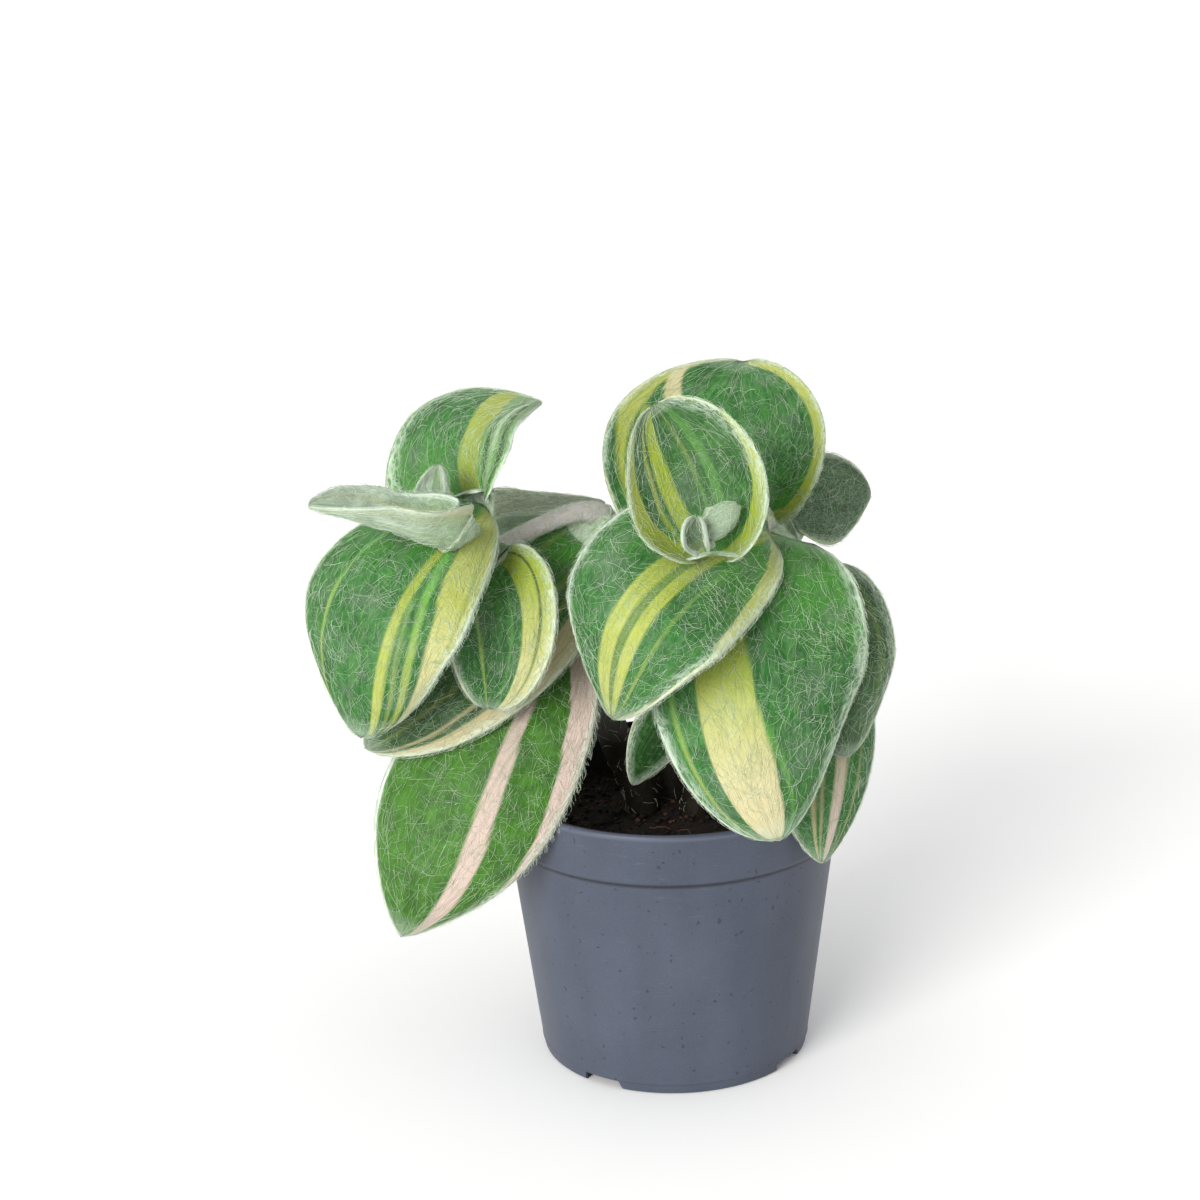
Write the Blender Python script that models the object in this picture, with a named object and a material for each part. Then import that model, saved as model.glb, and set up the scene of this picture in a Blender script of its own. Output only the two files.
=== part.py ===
"""Potted tradescantia: three leafy shoots growing from the soil of a small nursery pot.

Run with: blender --background --python part.py
The origin is the middle of the pot's underside, +Z is up, and the front looks along -Y.
Lengths are in millimetres up to the point where a mesh is written, in metres.
"""

import math
from dataclasses import dataclass

import bmesh
import bpy
from mathutils import Matrix, Vector

MM = 0.001  # metres in a millimetre
GAP = 0.3  # clearance between pieces that touch in life

# ---------------------------------------------------------------- driving sizes
RIM_RADIUS = 30.0
POT_HEIGHT = 50.0
BAND_HEIGHT = 9.0
BAND_STEP = 0.5
WALL = 1.1
FOOT_RADIUS = 23.6
FOOT_WIDTH = 2.0
FLOOR_UNDERSIDE = 2.6
FLOOR_TOP = 4.0
PAD_RADIUS = 5.0
SOIL_TOP = 43.0
SOIL_CROWN = 0.5  # how much higher the soil is in the middle, and lower at the wall
SOIL_SINK = 9.0  # how deep the stems stand in the soil
LEAF_THICKNESS = 1.0
POT_SIDES = 64

DRAIN_HOLES = 6
DRAIN_RADIUS = 1.8
DRAIN_CIRCLE = 13.0
NOTCHES = 4
NOTCH_WIDTH = 8.5
NOTCH_HEIGHT = 1.6
NOTCH_ANGLE = math.radians(-121)

LEAF_ACROSS = 8  # faces across a leaf
LEAF_ALONG = 12  # faces from its foot to its tip

GREEN = (0.10, 0.22, 0.08)
PALE_GREEN = (0.42, 0.50, 0.30)
STEM_GREY = (0.45, 0.42, 0.42)
POT_GREY = (0.115, 0.13, 0.17)
SOIL_BROWN = (0.035, 0.018, 0.014)


# ---------------------------------------------------------------- scene and materials
def clear_scene():
    """Remove whatever the opened file holds."""
    for obj in list(bpy.data.objects):
        bpy.data.objects.remove(obj, do_unlink=True)


def make_material(name, color, roughness):
    """A plain Principled material."""
    material = bpy.data.materials.new(name)
    material.use_nodes = True
    shader = material.node_tree.nodes["Principled BSDF"]
    shader.inputs["Base Color"].default_value = (*color, 1.0)
    shader.inputs["Roughness"].default_value = roughness
    shader.inputs["Metallic"].default_value = 0.0
    material.diffuse_color = (*color, 1.0)
    return material


def add_object(name, data, parent, material):
    """Link a new object that carries this mesh or curve."""
    obj = bpy.data.objects.new(name, data)
    obj.parent = parent
    data.materials.append(material)
    bpy.context.scene.collection.objects.link(obj)
    return obj


def mesh_from(bm, name):
    """Write a bmesh held in millimetres to a smooth-shaded mesh in metres."""
    bmesh.ops.scale(bm, vec=(MM, MM, MM), verts=bm.verts)
    bmesh.ops.recalc_face_normals(bm, faces=bm.faces)
    mesh = bpy.data.meshes.new(name)
    bm.to_mesh(mesh)
    bm.free()
    mesh.shade_smooth()
    mesh.set_sharp_from_angle(angle=math.radians(40))
    return mesh


def cut(obj, cutter, name):
    """Take the cutter's shape out of the object."""
    cutter.hide_render = True
    cutter.display_type = "WIRE"
    modifier = obj.modifiers.new(name, "BOOLEAN")
    modifier.operation = "DIFFERENCE"
    modifier.solver = "EXACT"
    modifier.object = cutter


# ---------------------------------------------------------------- pot and soil
def turned(profile, name, sides=POT_SIDES):
    """Spin a (radius, height) outline that starts and ends on the Z axis."""
    bm = bmesh.new()
    points = [bm.verts.new((radius, 0.0, height)) for radius, height in profile]
    edges = [bm.edges.new(pair) for pair in zip(points, points[1:])]
    bmesh.ops.spin(bm, geom=edges + points, cent=(0, 0, 0), axis=(0, 0, 1), angle=math.tau,
                   steps=sides, use_merge=True)
    bmesh.ops.remove_doubles(bm, verts=bm.verts, dist=0.01)
    return mesh_from(bm, name)


def outer_radius(height):
    """Radius of the pot's tapered wall outside, at a height below the rim band."""
    low, high = 3.0, POT_HEIGHT - BAND_HEIGHT
    top_radius = RIM_RADIUS - 2 * BAND_STEP - 0.1
    share = (height - low) / (high - low)
    return FOOT_RADIUS + 0.4 + share * (top_radius - FOOT_RADIUS - 0.4)


def pot_profile():
    """The pot's outline, from the middle of its underside round to the middle of its floor."""
    band_foot = POT_HEIGHT - BAND_HEIGHT
    ledge = outer_radius(band_foot)
    inner_top = RIM_RADIUS - WALL - 0.4
    inner_low = outer_radius(FLOOR_TOP + 2) - WALL
    ring_inside = FOOT_RADIUS - FOOT_WIDTH
    return [
        (0.0, 0.0), (PAD_RADIUS, 0.0), (PAD_RADIUS, FLOOR_UNDERSIDE),
        (ring_inside, FLOOR_UNDERSIDE), (ring_inside, 0.0), (FOOT_RADIUS - 0.5, 0.0),
        (FOOT_RADIUS, 0.5),
        (FOOT_RADIUS, 1.8), (FOOT_RADIUS + 0.4, 2.3), (outer_radius(3.2), 3.2),
        (ledge, band_foot), (ledge + BAND_STEP, band_foot + 0.4),
        (RIM_RADIUS, POT_HEIGHT - 0.8), (RIM_RADIUS - 0.3, POT_HEIGHT - 0.15),
        (RIM_RADIUS - 0.8, POT_HEIGHT), (inner_top, POT_HEIGHT - 0.5),
        (outer_radius(band_foot) - WALL, band_foot), (inner_low, FLOOR_TOP + 2),
        (inner_low - 2.0, FLOOR_TOP), (0.0, FLOOR_TOP),
    ]


def polar(radius, angle, height=0.0):
    """A point on a circle about the Z axis."""
    return Vector((radius * math.cos(angle), radius * math.sin(angle), height))


def make_cutter(bm, name, parent):
    """An unseen object that holds a bmesh in millimetres, for a Boolean."""
    cutter = bpy.data.objects.new(name, mesh_from(bm, name))
    cutter.parent = parent
    bpy.context.scene.collection.objects.link(cutter)
    return cutter


def drain_cutter(parent):
    """Round holes through the pot's floor and notches through its foot ring."""
    bm = bmesh.new()
    for index in range(DRAIN_HOLES):
        centre = polar(DRAIN_CIRCLE, math.tau * index / DRAIN_HOLES, FLOOR_TOP)
        bmesh.ops.create_cone(bm, cap_ends=True, segments=16, radius1=DRAIN_RADIUS,
                              radius2=DRAIN_RADIUS, depth=6.0,
                              matrix=Matrix.Translation(centre))
    for index in range(NOTCHES):
        angle = NOTCH_ANGLE + math.tau * index / NOTCHES
        centre = polar(FOOT_RADIUS - FOOT_WIDTH / 2, angle)
        size = Matrix.Diagonal((FOOT_WIDTH + 3.0, NOTCH_WIDTH, 2 * NOTCH_HEIGHT, 1.0))
        turn = Matrix.Rotation(angle, 4, "Z")
        bmesh.ops.create_cube(bm, size=1.0, matrix=Matrix.Translation(centre) @ turn @ size)
    return make_cutter(bm, "drain_cutter", parent)


def make_pot(parent):
    """The thin-walled pot with its rim band, foot ring and drain holes."""
    material = make_material("pot_plastic", POT_GREY, 0.42)
    pot = add_object("pot", turned(pot_profile(), "pot"), parent, material)
    cut(pot, drain_cutter(parent), "drain")


def soil_profile():
    """The soil's outline, from the middle of its top round to the middle of its underside."""
    low = FLOOR_TOP + 2 + GAP
    wall = outer_radius(SOIL_TOP) - WALL - GAP
    low_wall = outer_radius(low) - WALL - GAP
    return [(0.0, SOIL_TOP + SOIL_CROWN), (wall / 3, SOIL_TOP + SOIL_CROWN),
            (wall * 2 / 3, SOIL_TOP), (wall, SOIL_TOP - SOIL_CROWN), (low_wall, low), (0.0, low)]


def make_soil(parent, shoots):
    """The potting soil, gently crowned, with a socket round each stem's foot."""
    material = make_material("soil", SOIL_BROWN, 0.95)
    soil = add_object("soil", turned(soil_profile(), "soil"), parent, material)

    sockets = bmesh.new()
    for shoot in shoots:
        foot_point, radius = Vector(shoot.route[0]), shoot.radii[0]
        bmesh.ops.create_cone(sockets, cap_ends=True, segments=16, radius1=radius + GAP + 0.3,
                              radius2=radius + GAP + 0.3, depth=2 * (SOIL_SINK + GAP),
                              matrix=Matrix.Translation((foot_point.x, foot_point.y, SOIL_TOP)))
    cut(soil, make_cutter(sockets, "stem_sockets", parent), "sockets")


# ---------------------------------------------------------------- leaves
@dataclass(frozen=True)
class Leaf:
    """One blade, set by its midrib and by how it curls across.

    base, mid and tip are points of the midrib. face is the way the upper side looks at the
    middle. cup curls both margins towards the upper side (in radians), fold bends the blade
    along the midrib and twist turns it from foot to tip (in degrees). belly is how far along
    the blade is widest, foot its clasping width at the base, point how sharp its tip is, hood
    how much the tip closes over, and clasp how far the foot wraps round the stem.
    """

    name: str
    base: tuple
    mid: tuple
    tip: tuple
    face: tuple
    width: float
    cup: float = 0.3
    fold: float = 0.0
    twist: float = 0.0
    belly: float = 0.45
    foot: float = 0.3
    point: float = 1.35
    hood: float = 0.0
    clasp: float = 0.9

    def half_width(self, along):
        """Half the blade's width at a share of its length."""
        round_share = along ** (math.log(0.5) / math.log(self.belly))
        ellipse = math.sqrt(max(0.0, 1 - (2 * round_share - 1) ** 2))
        past = max(0.0, (along - self.belly) / (1 - self.belly))
        blade = ellipse ** (1 + (self.point - 1) * past)
        return self.width / 2 * math.hypot(blade, self.foot * (1 - along) ** 4)

    def midrib(self, along):
        """Point and direction of the midrib at a share of its length."""
        base, mid, tip = Vector(self.base), Vector(self.mid), Vector(self.tip)
        control = 2 * mid - (base + tip) / 2
        point = (1 - along) ** 2 * base + 2 * along * (1 - along) * control + along**2 * tip
        direction = (1 - along) * (control - base) + along * (tip - control)
        return point, direction.normalized()

    def frames(self, steps):
        """Midrib point, upward normal and sideways direction at each step from foot to tip."""
        stations = [self.midrib(step / steps) for step in range(steps + 1)]
        middle = steps // 2
        normals = {}
        for run in (range(middle, steps + 1), range(middle, -1, -1)):
            normal = Vector(self.face)
            for step in run:
                direction = stations[step][1]
                normal = (normal - direction * normal.dot(direction)).normalized()
                normals[step] = normal
        for step, (point, direction) in enumerate(stations):
            turn = Matrix.Rotation(-math.radians(self.twist) * (step / steps - 0.5), 3, direction)
            normal = turn @ normals[step]
            yield point, normal, direction.cross(normal)

    def section(self, along, across):
        """Sideways and upward offset of a point across the blade, from -1 to 1."""
        curl = self.cup + self.clasp * (1 - along) ** 5 + self.hood * along**6
        curl = math.copysign(max(abs(curl), 1e-3), curl)
        crease = math.tan(math.radians(self.fold))
        side = math.sin(curl * across) / curl
        rise = (1 - math.cos(curl * across)) / curl
        rise += crease * (math.sqrt(across**2 + 0.03) - math.sqrt(0.03))
        shrink = self.half_width(along) / math.sqrt(1 + crease**2)
        return side * shrink, rise * shrink

    def grid(self, across_steps, along_steps):
        """Rows of points over the blade, with one point at the tip."""
        rows = []
        for step, (point, normal, sideways) in enumerate(self.frames(along_steps)):
            along = step / along_steps
            row = []
            for column in range(across_steps + 1):
                side, rise = self.section(along, 2 * column / across_steps - 1)
                row.append(point + side * sideways + rise * normal)
            rows.append(row)
        return rows[:-1], Vector(self.tip)


LEAVES = [
    # left shoot, from its crown down
    Leaf("left_top_leaf", (-31, -12.3, 104), (-31.4, -10.6, 113.6), (-20, -6.2, 118),
         (-0.8, -0.49, 0.33), 38.6, cup=-0.47, fold=23.5, twist=12, belly=0.37, foot=0.54,
         point=1.43, clasp=1),
    Leaf("left_side_leaf", (-34.5, -28.8, 99.1), (-44.7, -32.8, 104.3), (-55.5, -36.5, 108.5),
         (0.09, 0.06, 0.99), 20.7, cup=0.24, fold=21, twist=8, belly=0.41, foot=0.75,
         point=1.15, hood=-0.5, clasp=1.9),
    Leaf("left_front_leaf", (-29.3, -16.2, 103), (-46.2, -31.5, 92.6), (-50.2, -30, 68),
         (-0.32, -0.81, 0.5), 31.9, cup=-0.58, twist=5, belly=0.5, foot=0.15, point=0.8,
         hood=-0.74, clasp=0),
    Leaf("left_inner_leaf", (-29, -14.5, 92), (-27, -24.8, 85.5), (-29.5, -24, 70.5),
         (-0.11, -0.9, 0.42), 20, cup=0.4, twist=16, belly=0.39, foot=0.2, point=0.98),
    Leaf("left_under_leaf", (-13.5, -3.5, 94.5), (-31, -14.5, 79.5), (-51, -19.5, 62.5),
         (-0.1, -0.75, 0.65), 27, cup=-0.5),
    Leaf("left_hanging_leaf", (-16, -4.5, 75.5), (-32.5, -22.5, 58.5), (-46, -24.5, 30.5),
         (-0.15, -0.88, 0.45), 33, cup=-0.65, twist=16, belly=0.53, foot=0.2, point=1.45,
         hood=-0.25),
    Leaf("left_back_leaf", (-10.5, 12, 95.7), (-29, 10.5, 91.5), (-38, 7.5, 95.5),
         (-0.16, 0.0, 0.99), 25, cup=0.5, fold=15, twist=16, belly=0.39, clasp=-0.8),
    Leaf("left_rear_leaf", (-14.5, 7, 81), (-24, 20, 78), (-32, 28, 62),
         (-0.4, 0.5, 0.75), 26, cup=-0.4),
    # right shoot, from its crown down
    Leaf("right_crown_leaf", (7.5, -36, 99), (5, -34.5, 110), (-1.5, -29.5, 122),
         (-0.04, -0.97, 0.23), 27.5, cup=1.15, twist=-15, belly=0.42, point=1.1),
    Leaf("right_back_leaf", (13, -3.5, 97.5), (10, -3.5, 107.5), (14, 11, 121),
         (-0.23, -0.72, 0.65), 42.5, cup=0.8, twist=6, belly=0.47, foot=0.35, point=1.45,
         hood=0.25),
    Leaf("right_arching_leaf", (17, -21.5, 98.5), (-2.5, -41.8, 94.5), (-9, -40, 74),
         (0.0, -0.76, 0.64), 29, cup=-0.4, twist=-40, belly=0.46, foot=0.15, point=1.3),
    Leaf("right_hanging_leaf", (20.5, -18, 97), (14.8, -36, 80.5), (17.5, -36.5, 51.5),
         (0.12, -0.91, 0.4), 38.5, cup=-0.8, twist=20, belly=0.46, foot=0.2, point=1.15,
         hood=0.3),
    Leaf("right_side_leaf", (20.5, -4.5, 97), (28, 2.5, 99), (35.5, 6.5, 98),
         (0.57, -0.72, 0.4), 16.5, cup=-0.35),
    Leaf("right_outer_leaf", (24.5, -11, 90.5), (28, -23.5, 79.5), (29, -24, 61),
         (0.22, -0.88, 0.41), 26, cup=-0.95, twist=8, point=1.15),
    Leaf("right_low_leaf", (27.5, -2, 79), (27.5, -20, 65.5), (25, -23, 42),
         (0.45, -0.82, 0.34), 24.5, cup=-0.9, twist=-16, point=1.3),
    Leaf("right_small_leaf", (14, -3, 66), (2, -14, 66), (-6.5, -14, 53),
         (0, -0.97, 0.24), 12, cup=-0.5),
    Leaf("right_rear_leaf", (23, 5, 76), (28, 19, 75), (33, 27, 60),
         (0.4, 0.5, 0.75), 24, cup=-0.4),
    # back shoot
    Leaf("back_left_leaf", (-1, 29.5, 70), (-13, 38, 72), (-26, 40, 62), (-0.2, 0.5, 0.85), 24),
    Leaf("back_right_leaf", (5.5, 28.5, 73.5), (17, 37, 75), (30, 38, 65), (0.2, 0.5, 0.85), 24),
    Leaf("back_hanging_leaf", (2.5, 33, 68), (3, 46, 60), (4, 50, 37), (0, 0.9, 0.4), 28, cup=-0.6),
    Leaf("back_top_leaf", (2, 31.5, 75), (-1, 36, 81), (-4, 40, 85), (0, -0.8, 0.6), 16, cup=0.8),
    Leaf("back_low_left_leaf", (-3.5, 21, 63), (-17, 25, 60), (-30, 22, 47), (-0.6, 0.3, 0.7), 22),
    Leaf("back_low_right_leaf", (6.5, 18, 60), (17.5, 24, 60), (30, 22, 46), (0.6, 0.3, 0.7), 22),
]


def make_leaf(leaf, parent, material):
    """A blade of even thickness about its middle surface."""
    rows, tip = leaf.grid(LEAF_ACROSS, LEAF_ALONG)
    bm = bmesh.new()
    verts = [[bm.verts.new(point) for point in row] for row in rows]
    for low, high in zip(verts, verts[1:]):
        for column in range(LEAF_ACROSS):
            bm.faces.new((low[column], low[column + 1], high[column + 1], high[column]))
    end = bm.verts.new(tip)
    for column in range(LEAF_ACROSS):
        bm.faces.new((verts[-1][column], verts[-1][column + 1], end))
    obj = add_object(leaf.name, mesh_from(bm, leaf.name), parent, material)
    skin = obj.modifiers.new("thickness", "SOLIDIFY")
    skin.thickness = LEAF_THICKNESS * MM
    skin.offset = 0.0
    skin.use_even_offset = True


# ---------------------------------------------------------------- stems and buds
@dataclass(frozen=True)
class Shoot:
    """A stem's route from the soil to the shoot tip, and its radius at each point."""

    name: str
    route: tuple
    radii: tuple


SHOOTS = [
    Shoot("left_stem",
          ((-5, 1, 34), (-5, 1, 45), (-9.6, 0.5, 57), (-12.5, 1, 70), (-12, 2.5, 84),
           (-9.8, -0.5, 95.5), (-14, -3, 98.4), (-20.5, -5, 97), (-26, -7.5, 94.8),
           (-29.5, -10, 94), (-31, -13, 98)),
          (3.0, 3.0, 2.8, 2.6, 2.4, 2.0, 1.7, 1.5, 1.5, 1.5, 1.6)),
    Shoot("right_stem",
          ((5, 0, 34), (5, 0, 45), (13, 3, 58), (21, 1, 74), (21.5, -4, 88), (17.5, -9.5, 94.5),
           (14.5, -14.5, 101.5), (11, -20.5, 109.5), (8.5, -30, 109.5)),
          (3.0, 3.0, 2.8, 2.6, 2.4, 2.2, 2.0, 1.8, 1.5)),
    Shoot("back_stem",
          ((0, 9, 34), (0, 9, 45), (1, 16, 57), (2, 23, 66), (2, 28, 71)),
          (2.8, 2.8, 2.5, 2.3, 2.0)),
]


def make_stem(shoot, parent, material):
    """A tapering round stem with closed ends."""
    curve = bpy.data.curves.new(shoot.name, "CURVE")
    curve.dimensions = "3D"
    curve.resolution_u = 4
    curve.bevel_depth = MM
    curve.bevel_resolution = 3
    curve.use_fill_caps = True
    spline = curve.splines.new("BEZIER")
    spline.bezier_points.add(len(shoot.route) - 1)
    for knot, point, radius in zip(spline.bezier_points, shoot.route, shoot.radii):
        knot.co = Vector(point) * MM
        knot.radius = radius
        knot.handle_left_type = "AUTO"
        knot.handle_right_type = "AUTO"
    add_object(shoot.name, curve, parent, material)


@dataclass(frozen=True)
class Bud:
    """A rolled young leaf: a pointed egg from base to tip."""

    name: str
    base: tuple
    tip: tuple
    radius: float


BUDS = [
    Bud("left_bud", (-36.7, -18, 105.2), (-36.7, -17, 109.4), 2.7),
    Bud("right_bud", (3, -43.2, 102.3), (10.5, -41, 108.3), 3.2),
    Bud("back_bud", (2, 28.5, 74), (2, 29, 81), 2.0),
]


def make_bud(bud, parent, material):
    """A young leaf still rolled up."""
    base, tip = Vector(bud.base), Vector(bud.tip)
    length = (tip - base).length
    bm = bmesh.new()
    bmesh.ops.create_uvsphere(bm, u_segments=12, v_segments=8, radius=1.0)
    for vert in bm.verts:
        share = (vert.co.z + 1) / 2
        narrow = min(1.0, 0.3 + 1.4 * share) * (1 - 0.35 * share)
        vert.co = Vector((vert.co.x * narrow * bud.radius, vert.co.y * narrow * bud.radius,
                          share * length))
    turn = (tip - base).to_track_quat("Z", "Y").to_matrix().to_4x4()
    bmesh.ops.transform(bm, matrix=Matrix.Translation(base) @ turn, verts=bm.verts)
    add_object(bud.name, mesh_from(bm, bud.name), parent, material)


# ---------------------------------------------------------------- the whole plant
def build():
    """Model the pot, the soil and the three shoots."""
    clear_scene()
    plant = bpy.data.objects.new("potted_tradescantia", None)
    bpy.context.scene.collection.objects.link(plant)
    make_pot(plant)
    make_soil(plant, SHOOTS)
    for shoot in SHOOTS:
        make_stem(shoot, plant, make_material(shoot.name, STEM_GREY, 0.8))
    for leaf in LEAVES:
        make_leaf(leaf, plant, make_material(leaf.name, GREEN, 0.7))
    for bud in BUDS:
        make_bud(bud, plant, make_material(bud.name, PALE_GREEN, 0.75))


build()
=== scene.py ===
"""Looks of a potted variegated tradescantia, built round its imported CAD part.

The blades, stems, buds, pot and soil stand in the part's own frame, with the middle of the
pot's underside at the origin, +Z up and the front looking along -Y. Lengths in the tables
are in millimetres and become metres where a mesh is written.
"""

import logging
import math
from collections.abc import Sequence
from dataclasses import dataclass, field, replace
from enum import Enum
from typing import Any

import bmesh
import bpy
import numpy as np
from mathutils import Matrix, Vector


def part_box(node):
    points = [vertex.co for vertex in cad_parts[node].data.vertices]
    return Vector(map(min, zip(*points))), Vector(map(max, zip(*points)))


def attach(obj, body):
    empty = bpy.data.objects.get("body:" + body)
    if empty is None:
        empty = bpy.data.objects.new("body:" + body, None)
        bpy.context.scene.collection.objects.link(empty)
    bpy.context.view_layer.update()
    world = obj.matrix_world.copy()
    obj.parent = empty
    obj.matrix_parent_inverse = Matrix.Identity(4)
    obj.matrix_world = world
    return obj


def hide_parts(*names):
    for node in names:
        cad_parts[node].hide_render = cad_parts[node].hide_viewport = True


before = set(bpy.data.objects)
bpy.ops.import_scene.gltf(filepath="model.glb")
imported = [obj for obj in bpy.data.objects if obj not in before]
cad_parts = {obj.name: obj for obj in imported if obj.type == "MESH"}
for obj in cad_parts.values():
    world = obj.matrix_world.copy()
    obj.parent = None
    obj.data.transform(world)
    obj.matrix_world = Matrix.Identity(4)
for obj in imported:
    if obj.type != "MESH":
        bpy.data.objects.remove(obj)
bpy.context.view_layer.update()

MM = 0.001  # metres in a millimetre
BODY = "root"

Colour = tuple[float, float, float]
Point = tuple[float, float, float]
Piece = bpy.types.Object

log = logging.getLogger("tradescantia")


def paint(red: int, green: int, blue: int) -> Colour:
    """A colour given as 0 to 255 on a screen, as the linear values that a shader takes.

    Args:
        red: The red share.
        green: The green share.
        blue: The blue share.

    Returns:
        The three linear values.
    """
    shares = (value / 255 for value in (red, green, blue))
    return tuple(((s + 0.055) / 1.055) ** 2.4 if s > 0.04 else s / 12.92 for s in shares)


# ------------------------------------------------------------------ shader workbench
class Wire:
    """An output socket of numbers that takes part in arithmetic by adding Math nodes."""

    def __init__(self, board: "Board", socket: bpy.types.NodeSocket) -> None:
        """Holds the socket and the board that it is on."""
        self.board, self.socket = board, socket

    def _math(self, operation: str, *values: Any, clamp: bool = False) -> "Wire":
        """One Math node.

        Args:
            operation: The node's operation.
            *values: Its inputs in order, wires or numbers.
            clamp: Whether the result is held between 0 and 1.

        Returns:
            The node's result.
        """
        settings = {"operation": operation, "use_clamp": clamp}
        node = self.board.node("ShaderNodeMath", settings, dict(enumerate(values)))
        return Wire(self.board, node.outputs[0])

    def __add__(self, other: Any) -> "Wire":
        """This wire plus a wire or number."""
        return self._math("ADD", self, other)

    __radd__ = __add__

    def __sub__(self, other: Any) -> "Wire":
        """This wire less a wire or number."""
        return self._math("SUBTRACT", self, other)

    def __rsub__(self, other: Any) -> "Wire":
        """A number less this wire."""
        return self._math("SUBTRACT", other, self)

    def __mul__(self, other: Any) -> "Wire":
        """This wire times a wire or number."""
        return self._math("MULTIPLY", self, other)

    __rmul__ = __mul__

    def __truediv__(self, other: Any) -> "Wire":
        """This wire over a wire or number."""
        return self._math("DIVIDE", self, other)

    def __pow__(self, other: Any) -> "Wire":
        """This wire to a power."""
        return self._math("POWER", self, other)

    def __abs__(self) -> "Wire":
        """This wire without its sign."""
        return self._math("ABSOLUTE", self)

    def above(self, low: Any, soft: float) -> "Wire":
        """How far this wire is above a level.

        Args:
            low: The level, a wire or number.
            soft: How wide the rise from 0 to 1 is.

        Returns:
            0 below the level, 1 above it.
        """
        return self._math("ADD", (self - low) / soft, 0.5, clamp=True)

    def least(self, other: Any) -> "Wire":
        """The lesser of this wire and another or a number."""
        return self._math("MINIMUM", self, other)

    def most(self, other: Any) -> "Wire":
        """The greater of this wire and another or a number."""
        return self._math("MAXIMUM", self, other)

    def held(self) -> "Wire":
        """This wire held between 0 and 1."""
        return self._math("ADD", self, 0.0, clamp=True)


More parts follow.
